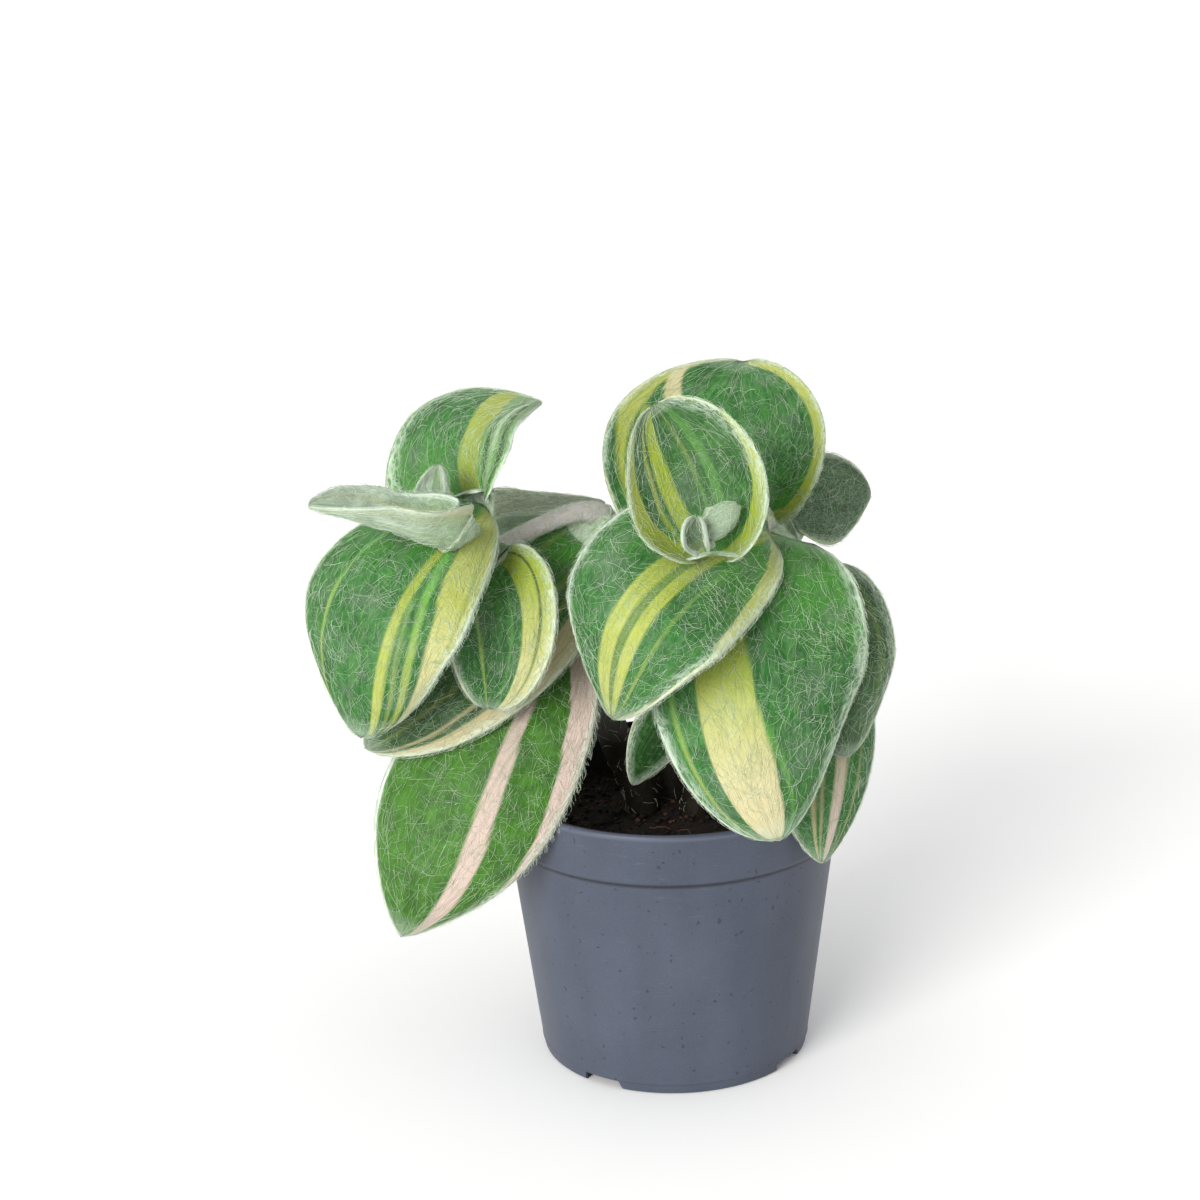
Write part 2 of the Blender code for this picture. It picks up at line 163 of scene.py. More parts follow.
class Board:
    """The node tree of one material, with its Principled shader already in place."""

    def __init__(self, name: str, **constants: Any) -> None:
        """Makes the material.

        Args:
            name: The material's name.
            **constants: Principled sockets that are the same all over, with _ for a space.
        """
        self.material = bpy.data.materials.new(name)
        self.material.use_nodes = True
        self.tree = self.material.node_tree
        self.tree.nodes.clear()
        sockets = {key.replace("_", " "): value for key, value in constants.items()}
        self.shader = self.node("ShaderNodeBsdfPrincipled", inputs=sockets)
        surface = {"Surface": self.shader.outputs["BSDF"]}
        self.node("ShaderNodeOutputMaterial", inputs=surface)

    def node(
        self, kind: str, settings: dict[str, Any] | None = None, inputs: dict | None = None
    ) -> bpy.types.Node:
        """Adds any node.

        Args:
            kind: The node's type.
            settings: Its properties, set first. "stops" fills a colour ramp.
            inputs: Values or links of its sockets, by name or number.

        Returns:
            The node.
        """
        node = self.tree.nodes.new(kind)
        for key, value in (settings or {}).items():
            if key == "stops":
                self._fill_ramp(node.color_ramp, value)
            else:
                setattr(node, key, value)
        for key, value in (inputs or {}).items():
            self._feed(node.inputs[key], value)
        return node

    def _fill_ramp(self, ramp: bpy.types.ColorRamp, stops: Sequence[tuple[float, Colour]]) -> None:
        """Gives a ramp its stops.

        Args:
            ramp: The ramp.
            stops: Place and colour of each stop.
        """
        while len(ramp.elements) < len(stops):
            ramp.elements.new(1.0)
        for element, (place, colour) in zip(ramp.elements, stops):
            element.position = place
            element.color = (*colour, 1.0)

    def _feed(self, socket: bpy.types.NodeSocket, value: Any) -> None:
        """Links or sets one input.

        Args:
            socket: The input.
            value: A wire, a socket, a number or a colour.
        """
        if isinstance(value, Wire):
            value = value.socket
        if isinstance(value, bpy.types.NodeSocket):
            self.tree.links.new(value, socket)
        elif socket.type == "RGBA":
            socket.default_value = (*value, 1.0)
        else:
            socket.default_value = value

    def map(self, name: str) -> tuple[Wire, Wire]:
        """The two coordinates of one of the mesh's maps.

        Args:
            name: The map's name.

        Returns:
            Its first and second coordinate.
        """
        node = self.node("ShaderNodeUVMap", {"uv_map": name})
        parts = self.node("ShaderNodeSeparateXYZ", inputs={0: node.outputs[0]})
        return Wire(self, parts.outputs[0]), Wire(self, parts.outputs[1])

    def vector(self, *parts: Any) -> bpy.types.NodeSocket:
        """A vector of up to three wires or numbers."""
        return self.node("ShaderNodeCombineXYZ", inputs=dict(enumerate(parts))).outputs[0]

    def place(self) -> bpy.types.NodeSocket:
        """The point on the piece, in metres."""
        return self.node("ShaderNodeTexCoord").outputs["Object"]

    def height(self) -> Wire:
        """How high the point is, in metres."""
        parts = self.node("ShaderNodeSeparateXYZ", inputs={0: self.place()})
        return Wire(self, parts.outputs[2])

    def noise(
        self, where: bpy.types.NodeSocket, scale: float, detail: float = 2.0, warp: float = 0.0
    ) -> Wire:
        """Smooth noise.

        Args:
            where: The vector that it is read at.
            scale: How many features there are to a unit.
            detail: How many finer layers it has.
            warp: How much it is swirled.

        Returns:
            Noise from 0 to 1, mostly near 0.5.
        """
        inputs = {"Vector": where, "Scale": scale, "Detail": detail, "Distortion": warp}
        return Wire(self, self.node("ShaderNodeTexNoise", inputs=inputs).outputs[0])

    def threads(self, where: bpy.types.NodeSocket, scale: float, fine: float) -> Wire:
        """Thin wandering threads, drawn where swirled noise passes its middle.

        Args:
            where: The vector that they are read at.
            scale: How many there are to a unit.
            fine: How thin they are.

        Returns:
            1 on a thread and 0 away from it.
        """
        ridge = abs(self.noise(where, scale, 1.5, 1.2) - 0.5) * fine
        return (1 - ridge).held()

    def blend(self, mask: Any, first: Any, second: Any) -> bpy.types.NodeSocket:
        """Two colours through a Mix node.

        Args:
            mask: How much of the second colour there is.
            first: The first colour or link.
            second: The second colour or link.

        Returns:
            The mixed colour.
        """
        settings = {"data_type": "RGBA", "blend_type": "MIX", "clamp_factor": True}
        node = self.node("ShaderNodeMix", settings, {0: mask, 6: first, 7: second})
        return node.outputs[2]

    def bump(self, height: Wire, depth: float) -> bpy.types.NodeSocket:
        """A normal raised by a height.

        Args:
            height: The height, from 0 to 1.
            depth: What a height of 1 is, in metres.

        Returns:
            The normal.
        """
        inputs = {"Height": height, "Distance": depth, "Strength": 1.0}
        return self.node("ShaderNodeBump", inputs=inputs).outputs[0]

    def finish(self, **sockets: Any) -> bpy.types.Material:
        """Feeds the Principled shader.

        Args:
            **sockets: Its inputs by name, with _ for a space.

        Returns:
            The material.
        """
        for key, value in sockets.items():
            self._feed(self.shader.inputs[key.replace("_", " ")], value)
        return self.material


# ------------------------------------------------------------------ mesh workbench
class Skin:
    """A mesh in the making: points in millimetres and faces with their map coordinates."""

    def __init__(self) -> None:
        """Starts with nothing in it."""
        self.points: list[np.ndarray] = []
        self.loops: list[np.ndarray] = []
        self.sizes: list[np.ndarray] = []
        self.maps: dict[str, list[np.ndarray]] = {}
        self.count = 0

    def add_points(self, points: np.ndarray) -> int:
        """Adds points.

        Args:
            points: Their places, with three numbers in the last axis.

        Returns:
            The number of the first of them.
        """
        first = self.count
        self.points.append(points.reshape(-1, 3))
        self.count += self.points[-1].shape[0]
        return first

    def add_faces(self, corners: np.ndarray, **maps: np.ndarray) -> None:
        """Adds faces that all have the same number of corners.

        Args:
            corners: The point numbers of each face, one face to a row.
            **maps: Two coordinates for each corner, by the map's name.
        """
        self.loops.append(corners.reshape(-1))
        self.sizes.append(np.full(corners.shape[0], corners.shape[1]))
        for name, places in maps.items():
            self.maps.setdefault(name, []).append(places.reshape(-1, 2))

    def make(self, name: str, *materials: bpy.types.Material) -> Piece:
        """Writes the mesh, in metres and smoothly shaded.

        Args:
            name: The piece's name.
            *materials: Its materials.

        Returns:
            The piece, linked to the scene.
        """
        loops = np.concatenate(self.loops)
        used, loops = np.unique(loops, return_inverse=True)
        loops = loops.reshape(-1).astype(np.int32)
        points = np.concatenate(self.points)[used] * MM
        sizes = np.concatenate(self.sizes).astype(np.int32)
        mesh = bpy.data.meshes.new(name)
        mesh.vertices.add(len(points))
        mesh.vertices.foreach_set("co", points.astype(np.float32).ravel())
        mesh.loops.add(len(loops))
        mesh.loops.foreach_set("vertex_index", loops)
        mesh.polygons.add(len(sizes))
        mesh.polygons.foreach_set("loop_start", (np.cumsum(sizes) - sizes).astype(np.int32))
        for map_name, places in self.maps.items():
            layer = mesh.uv_layers.new(name=map_name, do_init=False)
            layer.data.foreach_set("uv", np.concatenate(places).astype(np.float32).ravel())
        mesh.update(calc_edges=True)
        mesh.validate()
        mesh.shade_smooth()
        return link(name, mesh, *materials)


def link(name: str, mesh: bpy.types.Mesh, *materials: bpy.types.Material) -> Piece:
    """Puts a mesh in the scene.

    Args:
        name: The piece's name.
        mesh: The mesh.
        *materials: Its materials.

    Returns:
        The piece.
    """
    piece = bpy.data.objects.new(name, mesh)
    for material in materials:
        mesh.materials.append(material)
    bpy.context.scene.collection.objects.link(piece)
    return piece


def settle(piece: Piece, slot: str, *nodes: str) -> None:
    """Fixes a piece to the part, and reports it.

    Args:
        piece: The piece.
        slot: The record's slot that its finish belongs to; not used.
        *nodes: The CAD nodes that it stands for.
    """
    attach(piece, BODY)
    if nodes:
        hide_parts(*nodes)
    log.info("%s: %d faces, for %s", piece.name, len(piece.data.polygons), nodes or "detail")


def seeded(name: str) -> np.random.Generator:
    """A generator of random numbers that is always the same for a name."""
    return np.random.default_rng(sum((i + 1) * ord(letter) for i, letter in enumerate(name)))


def unit(vectors: np.ndarray) -> np.ndarray:
    """Vectors in the last axis, each made one long."""
    return vectors / np.maximum(np.linalg.norm(vectors, axis=-1, keepdims=True), 1e-12)


def turned_about(vector: np.ndarray, axis: np.ndarray, angle: float) -> np.ndarray:
    """A vector turned about a unit axis that it is square to.

    Args:
        vector: The vector.
        axis: The axis.
        angle: The angle in radians.

    Returns:
        The turned vector.
    """
    return vector * math.cos(angle) + np.cross(axis, vector) * math.sin(angle)


# ------------------------------------------------------------------ colours of the plant
DEEP_GREEN = paint(24, 90, 26)
FRESH_GREEN = paint(50, 122, 14)
MEADOW_GREEN = paint(56, 104, 18)
SHADE_GREEN = paint(12, 44, 14)
LEAF_SHADE = paint(20, 74, 20)
DUSK_GREEN = paint(30, 60, 24)
FLECK_GREEN = paint(92, 152, 78)
FIBRE_GREEN = (0.01, 0.06, 0.005)
PALE_GREEN = paint(96, 154, 62)
TAUPE = paint(112, 106, 92)
MIST_GREEN = paint(134, 160, 118)
LIME = paint(138, 154, 36)
SOFT_LIME = paint(162, 169, 82)
CREAM = paint(197, 187, 144)
PINK_CREAM = paint(196, 175, 165)
TAN = paint(176, 165, 126)
OLIVE = paint(118, 134, 60)
WOOL = paint(200, 216, 198)
LILAC_WOOL = paint(214, 208, 208)


# ------------------------------------------------------------------ finishes of the plant
@dataclass(frozen=True)
class Stripe:
    """A pale band that runs the length of a blade.

    low and high are its two edges, each as a place across the blade, from -1 to 1, at the
    foot and at the tip. foot and tip are its colours there, and strength how full they are.
    late is how far up it starts to lean, 1 for evenly, bow how far its middle swings out and
    soft how wide its edges are.
    """

    low: tuple[float, float]
    high: tuple[float, float]
    foot: Colour = LIME
    tip: Colour = CREAM
    strength: float = 1.0
    late: float = 1.0
    bow: float = 0.0
    soft: float = 0.045

    def mask(self, across: Wire, along: Wire) -> Wire:
        """Where the stripe is.

        Args:
            across: Places across the blade, from -1 to 1.
            along: Shares of its length.

        Returns:
            How full the stripe is, from 0 to 1.
        """
        lean = along if self.late == 1.0 else along**self.late
        swing = along * (1 - along) * (4 * self.bow) if self.bow else 0.0
        low = lean * (self.low[1] - self.low[0]) + self.low[0] + swing
        high = lean * (self.high[1] - self.high[0]) + self.high[0] + swing
        return across.above(low, self.soft) * (1 - across.above(high, self.soft)) * self.strength


@dataclass(frozen=True)
class Rim:
    """A pale margin: its width in millimetres at the foot and past its reach, and its colours."""

    foot: float = 0.4
    tip: float = 0.4
    reach: float = 1.0
    foot_colour: Colour = SOFT_LIME
    tip_colour: Colour = CREAM


@dataclass(frozen=True)
class BladeFinish:
    """What a blade looks like: green ground, pale stripes and margins under a haze of wool.

    ripe says between which shares of the length the foot's colours turn to the tip's, haze how
    thick the wool's haze is and cloud how patchy, frost how white the very margin is, bloom
    how far, in millimetres, the fluff reaches in from each margin and relief how deep, in
    metres, its skin is ribbed.
    """

    stripes: tuple[Stripe, ...] = ()
    low_rim: Rim = Rim()
    high_rim: Rim = Rim()
    ground: Colour = DEEP_GREEN
    foot_ground: Colour = FRESH_GREEN
    ripe: tuple[float, float] = (0.2, 0.85)
    haze: float = 0.08
    cloud: float = 0.12
    frost: float = 0.7
    bloom: tuple[float, float] = (2.2, 2.2)
    wool: Colour = WOOL
    relief: float = 0.00018

    def material(self, name: str, seed: float) -> bpy.types.Material:
        """Builds the material.

        Args:
            name: The blade's name.
            seed: A number that sets its noise apart from other blades'.

        Returns:
            The material.
        """
        board = Board(name, Specular_IOR_Level=0.14)
        share, along = board.map("blade")
        margins = [away * 10 for away in board.map("rim")]
        streak = board.noise(board.vector(share * 46, along * 2.2, seed), 1.0, 3.0)
        grain = board.noise(board.vector(share * 110, along * 4, seed + 7), 1.0, 2.0)
        drift = board.noise(board.vector(share * 3, along * 3, seed), 1.0, 1.0)
        across = share * 2 - 1 + (streak - 0.5) * 0.09 + (drift - 0.5) * 0.05
        colour = self._ground(board, streak, grain, along)
        colour = self._bands(board, colour, across, along, margins, streak, grain)
        fibre = (streak - 0.5) * 0.9 + (drift - 0.5) * 0.6
        colour = board.blend(fibre.held() * 0.5, colour, FIBRE_GREEN)

        web = board.threads(board.vector(share * 15, along * 8, seed), 1.0, 17.0)
        net = board.threads(board.vector(share * 22, along * 20, seed + 3), 1.0, 13.0)
        cover = self._cover(board, web, net, grain, along, margins)
        relief = streak * 0.5 + web * 0.35 + net * 0.25 + grain * 0.2
        return board.finish(
            Base_Color=board.blend(cover, colour, self.wool),
            Roughness=(cover * 0.3 + streak * 0.15 + 0.45).held(),
            Normal=board.bump(relief, self.relief),
        )

    def _bands(
        self, board: Board, colour: bpy.types.NodeSocket, across: Wire, along: Wire,
        margins: list[Wire], streak: Wire, grain: Wire,
    ) -> bpy.types.NodeSocket:
        """Lays the stripes and the two pale margins over the green.

        Args:
            board: The material's node tree.
            colour: The green.
            across: Places across the blade, from -1 to 1, a little wavy.
            along: Shares of its length.
            margins: How far each margin is, in millimetres.
            streak: Noise drawn out along the blade.
            grain: Finer noise of the same kind.

        Returns:
            The colour with its bands.
        """
        ripening = ((along - self.ripe[0]) / (self.ripe[1] - self.ripe[0])).held()
        worn = 1 - (grain * 4 - 2.3).held() * 0.55
        bands = [(band.mask(across, along), band.foot, band.tip) for band in self.stripes]
        for rim, away in zip((self.low_rim, self.high_rim), margins):
            width = (rim.foot * (1 - along / rim.reach)).most(rim.tip)
            mask = 1 - (away + (streak - 0.5) * 1.4 + (grain - 0.5) * 0.8).above(width, 0.45)
            bands.append((mask, rim.foot_colour, rim.tip_colour))
        for mask, foot, tip in bands:
            colour = board.blend(mask * worn, colour, board.blend(ripening, foot, tip))
        return colour

    def _cover(
        self, board: Board, web: Wire, net: Wire, grain: Wire, along: Wire, margins: list[Wire]
    ) -> Wire:
        """How far the wool hides the skin.

        Args:
            board: The material's node tree.
            web: Long threads.
            net: Finer threads.
            grain: Fine noise drawn out along the blade.
            along: Shares of its length.
            margins: How far each margin is, in millimetres.

        Returns:
            The cover, from 0 to 1.
        """
        upper, _ = board.map("side")
        low, high = margins
        frost = (1 - low.least(high) / 0.8).held() * self.frost
        fluff = (1 - low / self.bloom[0]).held().most((1 - high / self.bloom[1]).held())
        fluff = fluff * ((web.most(net) * 0.8) + grain * 0.5 - 0.05).held()
        tip, foot = ((along - 0.93) * 9).held(), ((0.06 - along) * 9).held()
        cloud = (board.noise(board.place(), 150.0, 2.0) * 3 - 1.5).held()
        cover = (web.most(net * 0.8) * 0.8 + 0.2) * self.haze + cloud * self.cloud
        cover = cover + tip * 0.6 + foot * self.frost * 0.6 + (1 - upper) * 0.15
        return cover.most(fluff).most(frost).held()

    def _ground(
        self, board: Board, streak: Wire, grain: Wire, along: Wire
    ) -> bpy.types.NodeSocket:
        """The green that everything else lies on.

        Args:
            board: The material's node tree.
            streak: Noise drawn out along the blade.
            grain: Finer noise of the same kind.
            along: Shares of the blade's length.

        Returns:
            Its colour.
        """
        mottle = board.noise(board.place(), 300.0, 3.0)
        fleck = board.noise(board.place(), 1100.0, 2.0)
        green = board.blend((along * 2.6 - 0.2).held(), self.foot_ground, self.ground)
        green = board.blend((streak * 2.4 - 0.95).held() * 0.35, green, PALE_GREEN)
        green = board.blend((mottle * 2.8 - 1.1).held() * 0.6, green, SHADE_GREEN)
        green = board.blend((0.42 - grain).held() * 1.6, green, SHADE_GREEN)
        return board.blend((fleck * 3.2 - 1.6).held() * 0.35, green, FLECK_GREEN)


@dataclass(frozen=True)
class StrandFinish:
    """Long woolly hairs, each of its own tone and paler towards its end."""

    dark: Colour = paint(156, 184, 144)
    middle: Colour = paint(196, 214, 186)
    pale: Colour = paint(244, 248, 240)

    def material(self, name: str) -> bpy.types.Material:
        """Builds the material.

        Args:
            name: The material's name.

        Returns:
            The material.
        """
        board = Board(name, Specular_IOR_Level=0.35, Roughness=0.55)
        along, tone = board.map("strand")
        shade = board.noise(board.vector(along * 2, tone * 40, 0.0), 1.0, 1.0)
        place = (tone * 0.8 + along * 0.15 + (shade - 0.5) * 0.5).held()
        stops = ((0.0, self.dark), (0.5, self.middle), (1.0, self.pale))
        ramp = board.node("ShaderNodeValToRGB", {"stops": stops}, {0: place})
        return board.finish(Base_Color=ramp.outputs[0])


@dataclass(frozen=True)
class StemFinish:
    """A soft stem or sheath under close wool, in brown painted shade over the shade_fade below
    shade_top.
    """

    flesh: Colour = paint(196, 194, 180)
    blush: Colour = paint(200, 190, 192)
    # Colour of the painted shade on the lower stem, a dark brown like old bark.
    shade: Colour = paint(26, 21, 12)
    wool: Colour = LILAC_WOOL
    cover: float = 0.95
    shade_top: float = 0.086
    shade_fade: float = 0.03

    def material(self, name: str) -> bpy.types.Material:
        """Builds the material.

        Args:
            name: The material's name.

        Returns:
            The material.
        """
        board = Board(name, Specular_IOR_Level=0.2)
        share, along = board.map("blade")
        ribs = board.noise(board.vector(share * 26, along * 3, 1.5), 1.0, 2.0)
        blotch = board.noise(board.place(), 180.0, 2.0)
        colour = board.blend((blotch * 2 - 0.5).held(), self.flesh, self.blush)
        web = board.threads(board.place(), 420.0, 9.0)
        cover = (web * 0.5 + ribs * 0.6) * self.cover
        colour = board.blend(cover.held(), colour, self.wool)
        # Painted shade: below shade_top the stem darkens to the shade colour.
        lit = ((board.height() - self.shade_top) / self.shade_fade + 1).held()
        colour = board.blend(1 - lit, colour, self.shade)
        return board.finish(
            Base_Color=colour,
            Roughness=(ribs * 0.2 + 0.6).held(),
            Normal=board.bump(ribs * 0.6 + web * 0.4, 0.0002),
        )


# ------------------------------------------------------------------ blades and their wool
UP_STEPS = 56  # rows of faces from a blade's foot to its tip
CROSS_STEPS = 26  # faces across a blade
WALK_UP = 60  # rows of the grid that hairs are laid on
WALK_CROSS = 40  # and its columns
STATIONS = 7  # points along a hair
TONES = 16  # steps of paleness among the hairs, each with its own strip of their map
TONE_EDGE = 0.1  # share of a strip left free at each of its edges


@dataclass(frozen=True)
class BladeShape:
    """How a blade runs and curls, in the same numbers as its CAD node.

    base, mid and tip are points of the midrib and face the way its upper side looks at the
    middle. cup curls the margins towards the upper side (in radians), fold creases it along
    the midrib and twist turns it from foot to tip (in degrees). belly is where along it the
    blade is widest, foot its clasping width, point how sharp the tip is, hood how far the
    tip closes over, clasp how far the foot wraps the stem and ripple how wavy the margins
    are (in millimetres).
    """

    base: Point
    mid: Point
    tip: Point
    face: Point
    width: float
    cup: float = 0.3
    fold: float = 0.0
    twist: float = 0.0
    belly: float = 0.45
    foot: float = 0.3
    point: float = 1.35
    hood: float = 0.0
    clasp: float = 0.9
    thickness: float = 0.95
    ripple: float = 0.25

    def half_width(self, along: np.ndarray) -> np.ndarray:
        """Half the blade's width, in millimetres, at shares of its length."""
        round_share = along ** (math.log(0.5) / math.log(self.belly))
        ellipse = np.sqrt(np.clip(1 - (2 * round_share - 1) ** 2, 0, 1))
        past = np.clip((along - self.belly) / (1 - self.belly), 0, 1)
        blade = ellipse ** (1 + (self.point - 1) * past)
        return self.width / 2 * np.hypot(blade, self.foot * (1 - along) ** 4)

    def half_thickness(self, across: np.ndarray, along: np.ndarray) -> np.ndarray:
        """Half the blade's thickness, in millimetres, which dies away at its margins."""
        round_off = np.clip(1 - np.abs(across) ** 3.5, 0, 1) ** 0.55
        ends = np.clip(1 - along**14, 0, 1) ** 0.5 * np.clip(1 - (1 - along) ** 30, 0, 1) ** 0.5
        return self.thickness / 2 * round_off * ends

    def frames(self, along: np.ndarray) -> tuple[np.ndarray, np.ndarray, np.ndarray]:
        """The midrib's points, normals and sideways directions.

        Args:
            along: Shares of the length, in order from foot to tip.

        Returns:
            Three arrays with a row for each share.
        """
        base, mid, tip = (np.array(p, float) for p in (self.base, self.mid, self.tip))
        control = 2 * mid - (base + tip) / 2
        v = along[:, None]
        points = (1 - v) ** 2 * base + 2 * v * (1 - v) * control + v**2 * tip
        ways = unit((1 - v) * (control - base) + v * (tip - control))
        middle = int(np.abs(along - 0.5).argmin())
        normals = np.zeros_like(points)
        for run in (range(middle, len(along)), range(middle, -1, -1)):
            normal = np.array(self.face, float)
            for row in run:
                normal = unit(normal - ways[row] * (normal @ ways[row]))
                normals[row] = normal
        for row, share in enumerate(along):
            angle = -math.radians(self.twist) * (share - 0.5)
            normals[row] = turned_about(normals[row], ways[row], angle)
        return points, normals, np.cross(ways, normals)

    def surface(self, across: np.ndarray, along: np.ndarray, seed: float) -> np.ndarray:
        """Points of the blade's middle surface.

        Args:
            across: Places across the blade, from -1 to 1.
            along: Shares of its length.
            seed: A number that sets its ripples apart.

        Returns:
            An array of along by across by 3, in millimetres.
        """
        points, normals, sides = self.frames(along)
        u, v = across[None, :], along[:, None]
        curl = self.cup + self.clasp * (1 - v) ** 5 + self.hood * v**6
        curl = np.where(np.abs(curl) < 1e-3, 1e-3, curl)
        crease = math.tan(math.radians(self.fold))
        shrink = self.half_width(along)[:, None] / math.sqrt(1 + crease**2)
        side = np.sin(curl * u) / curl * shrink
        rise = (1 - np.cos(curl * u)) / curl
        rise = (rise + crease * (np.sqrt(u**2 + 0.03) - math.sqrt(0.03))) * shrink
        wave = np.sin(9 * v + seed) + 0.6 * np.sin(17 * v * (1 + 0.1 * np.sign(u)) + 2 * seed)
        rise = rise + self.ripple * wave * np.abs(u) ** 3 * np.sin(np.pi * v)
        return (
            points[:, None]
            + side[..., None] * sides[:, None]
            + rise[..., None] * normals[:, None]
        )


def normals_of(grid: np.ndarray) -> np.ndarray:
    """Upward normals of a grid of points, with the last row's taken from the one before."""
    across = np.gradient(grid, axis=1)
    along = np.gradient(grid, axis=0)
    normals = np.cross(across, along)
    normals[-1] = normals[-2]
    return unit(normals)


@dataclass(frozen=True)
class Wool:
    """How a blade's wool grows.

    density is hairs to a square millimetre of the upper side, under the same for the lower
    side and rim to a millimetre of margin. length is their shortest and longest, rim_length
    the same on the margin, stray how far they turn from the blade's length (in radians),
    lift how high they arch and fringe how far those on the margin stand out, all in
    millimetres. backward is the share that points to the foot, bold the share that is
    bold_girth times as thick, and tone and rim_tone how pale they are and how far that varies.
    """

    density: float = 0.8
    under: float = 0.15
    rim: float = 8.0
    length: tuple[float, float] = (2.0, 8.0)
    rim_length: tuple[float, float] = (1.0, 3.2)
    radius: float = 0.024
    stray: float = 0.8
    lift: float = 0.4
    fringe: float = 0.4
    backward: float = 0.2
    bold: float = 0.08
    bold_girth: float = 1.6
    tone: tuple[float, float] = (0.42, 0.24)
    rim_tone: tuple[float, float] = (0.75, 0.18)


class Strands:
    """Hairs in the making, each a closed tapered tube with three sides."""

    def __init__(self, seed: str) -> None:
        """Starts with no hairs and its own random numbers."""
        self.rng = seeded(seed)
        self.paths: list[np.ndarray] = []
        self.outs: list[np.ndarray] = []
        self.radii: list[np.ndarray] = []
        self.tones: list[np.ndarray] = []

    def add(
        self, paths: np.ndarray, outs: np.ndarray, radius: float, tones: np.ndarray
    ) -> None:
        """Adds hairs.

        Args:
            paths: Points along each hair, in millimetres: hairs by stations by 3.
            outs: The way out of the surface at each point, in the same shape.
            radius: Their radius at the root.
            tones: How pale each hair is, from 0 to 1.
        """
        self.paths.append(paths)
        self.outs.append(outs)
        self.radii.append(radius * self.rng.uniform(0.7, 1.25, len(paths)))
        self.tones.append(tones)

    def make(self, name: str, material: bpy.types.Material) -> Piece:
        """Writes all the hairs as one mesh.

        Args:
            name: The piece's name.
            material: The hairs' material.

        Returns:
            The piece.
        """
        paths, outs = np.concatenate(self.paths), np.concatenate(self.outs)
        radii, tones = np.concatenate(self.radii), np.concatenate(self.tones)
        hairs, stations = paths.shape[:2]
        ways = unit(np.gradient(paths, axis=1))
        sides = unit(np.cross(ways, outs))
        ups = np.cross(sides, ways)
        inner = slice(1, stations - 1)
        steps = np.arange(1, stations - 1) / (stations - 1)
        girth = radii[:, None] * (1 - 0.55 * steps)[None, :]
        rings = []
        for corner in range(3):
            angle = math.tau * corner / 3
            turn = math.cos(angle) * ups[:, inner] + math.sin(angle) * sides[:, inner]
            rings.append(paths[:, inner] + girth[..., None] * turn)
        body = np.stack(rings, axis=2).reshape(hairs, -1, 3)
        points = np.concatenate([body, paths[:, :1], paths[:, -1:]], axis=1)
        triangles, shares = self._template(steps)
        cells = np.floor(np.clip(tones, 0, 0.999) * TONES) / TONES
        places = np.broadcast_to(shares, (hairs, *shares.shape)).copy()
        places[..., 1] += cells[:, None, None] + TONE_EDGE / TONES
        starts = np.arange(hairs) * points.shape[1]
        corners = triangles[None] + starts[:, None, None]
        skin = Skin()
        skin.add_points(points)
        skin.add_faces(corners.reshape(-1, 3), OFBake=places, strand=places)
        return skin.make(name, material)

    @staticmethod
    def _template(steps: np.ndarray) -> tuple[np.ndarray, np.ndarray]:
        """The faces of one hair, whose points are its rings in order, its root and its end.

        Args:
            steps: Where along the hair each ring is, from 0 to 1.

        Returns:
            The point numbers of each triangle, and the map's coordinates at each corner.
        """
        count = len(steps)
        root, end = count * 3, count * 3 + 1
        width = (1 - 2 * TONE_EDGE) / TONES
        spot = [(steps[k // 3], (k % 3) / 3 * width) for k in range(root)]
        spot += [(0.0, 0.5 * width), (1.0, 0.5 * width)]
        triangles = []
        for corner in range(3):
            after = (corner + 1) % 3
            triangles.append((root, after, corner))
            triangles.append((end, (count - 1) * 3 + corner, (count - 1) * 3 + after))
            for ring in range(count - 1):
                low, high = ring * 3, ring * 3 + 3
                triangles.append((low + corner, low + after, high + after))
                triangles.append((low + corner, high + after, high + corner))
        return np.array(triangles), np.array([[spot[p] for p in face] for face in triangles])


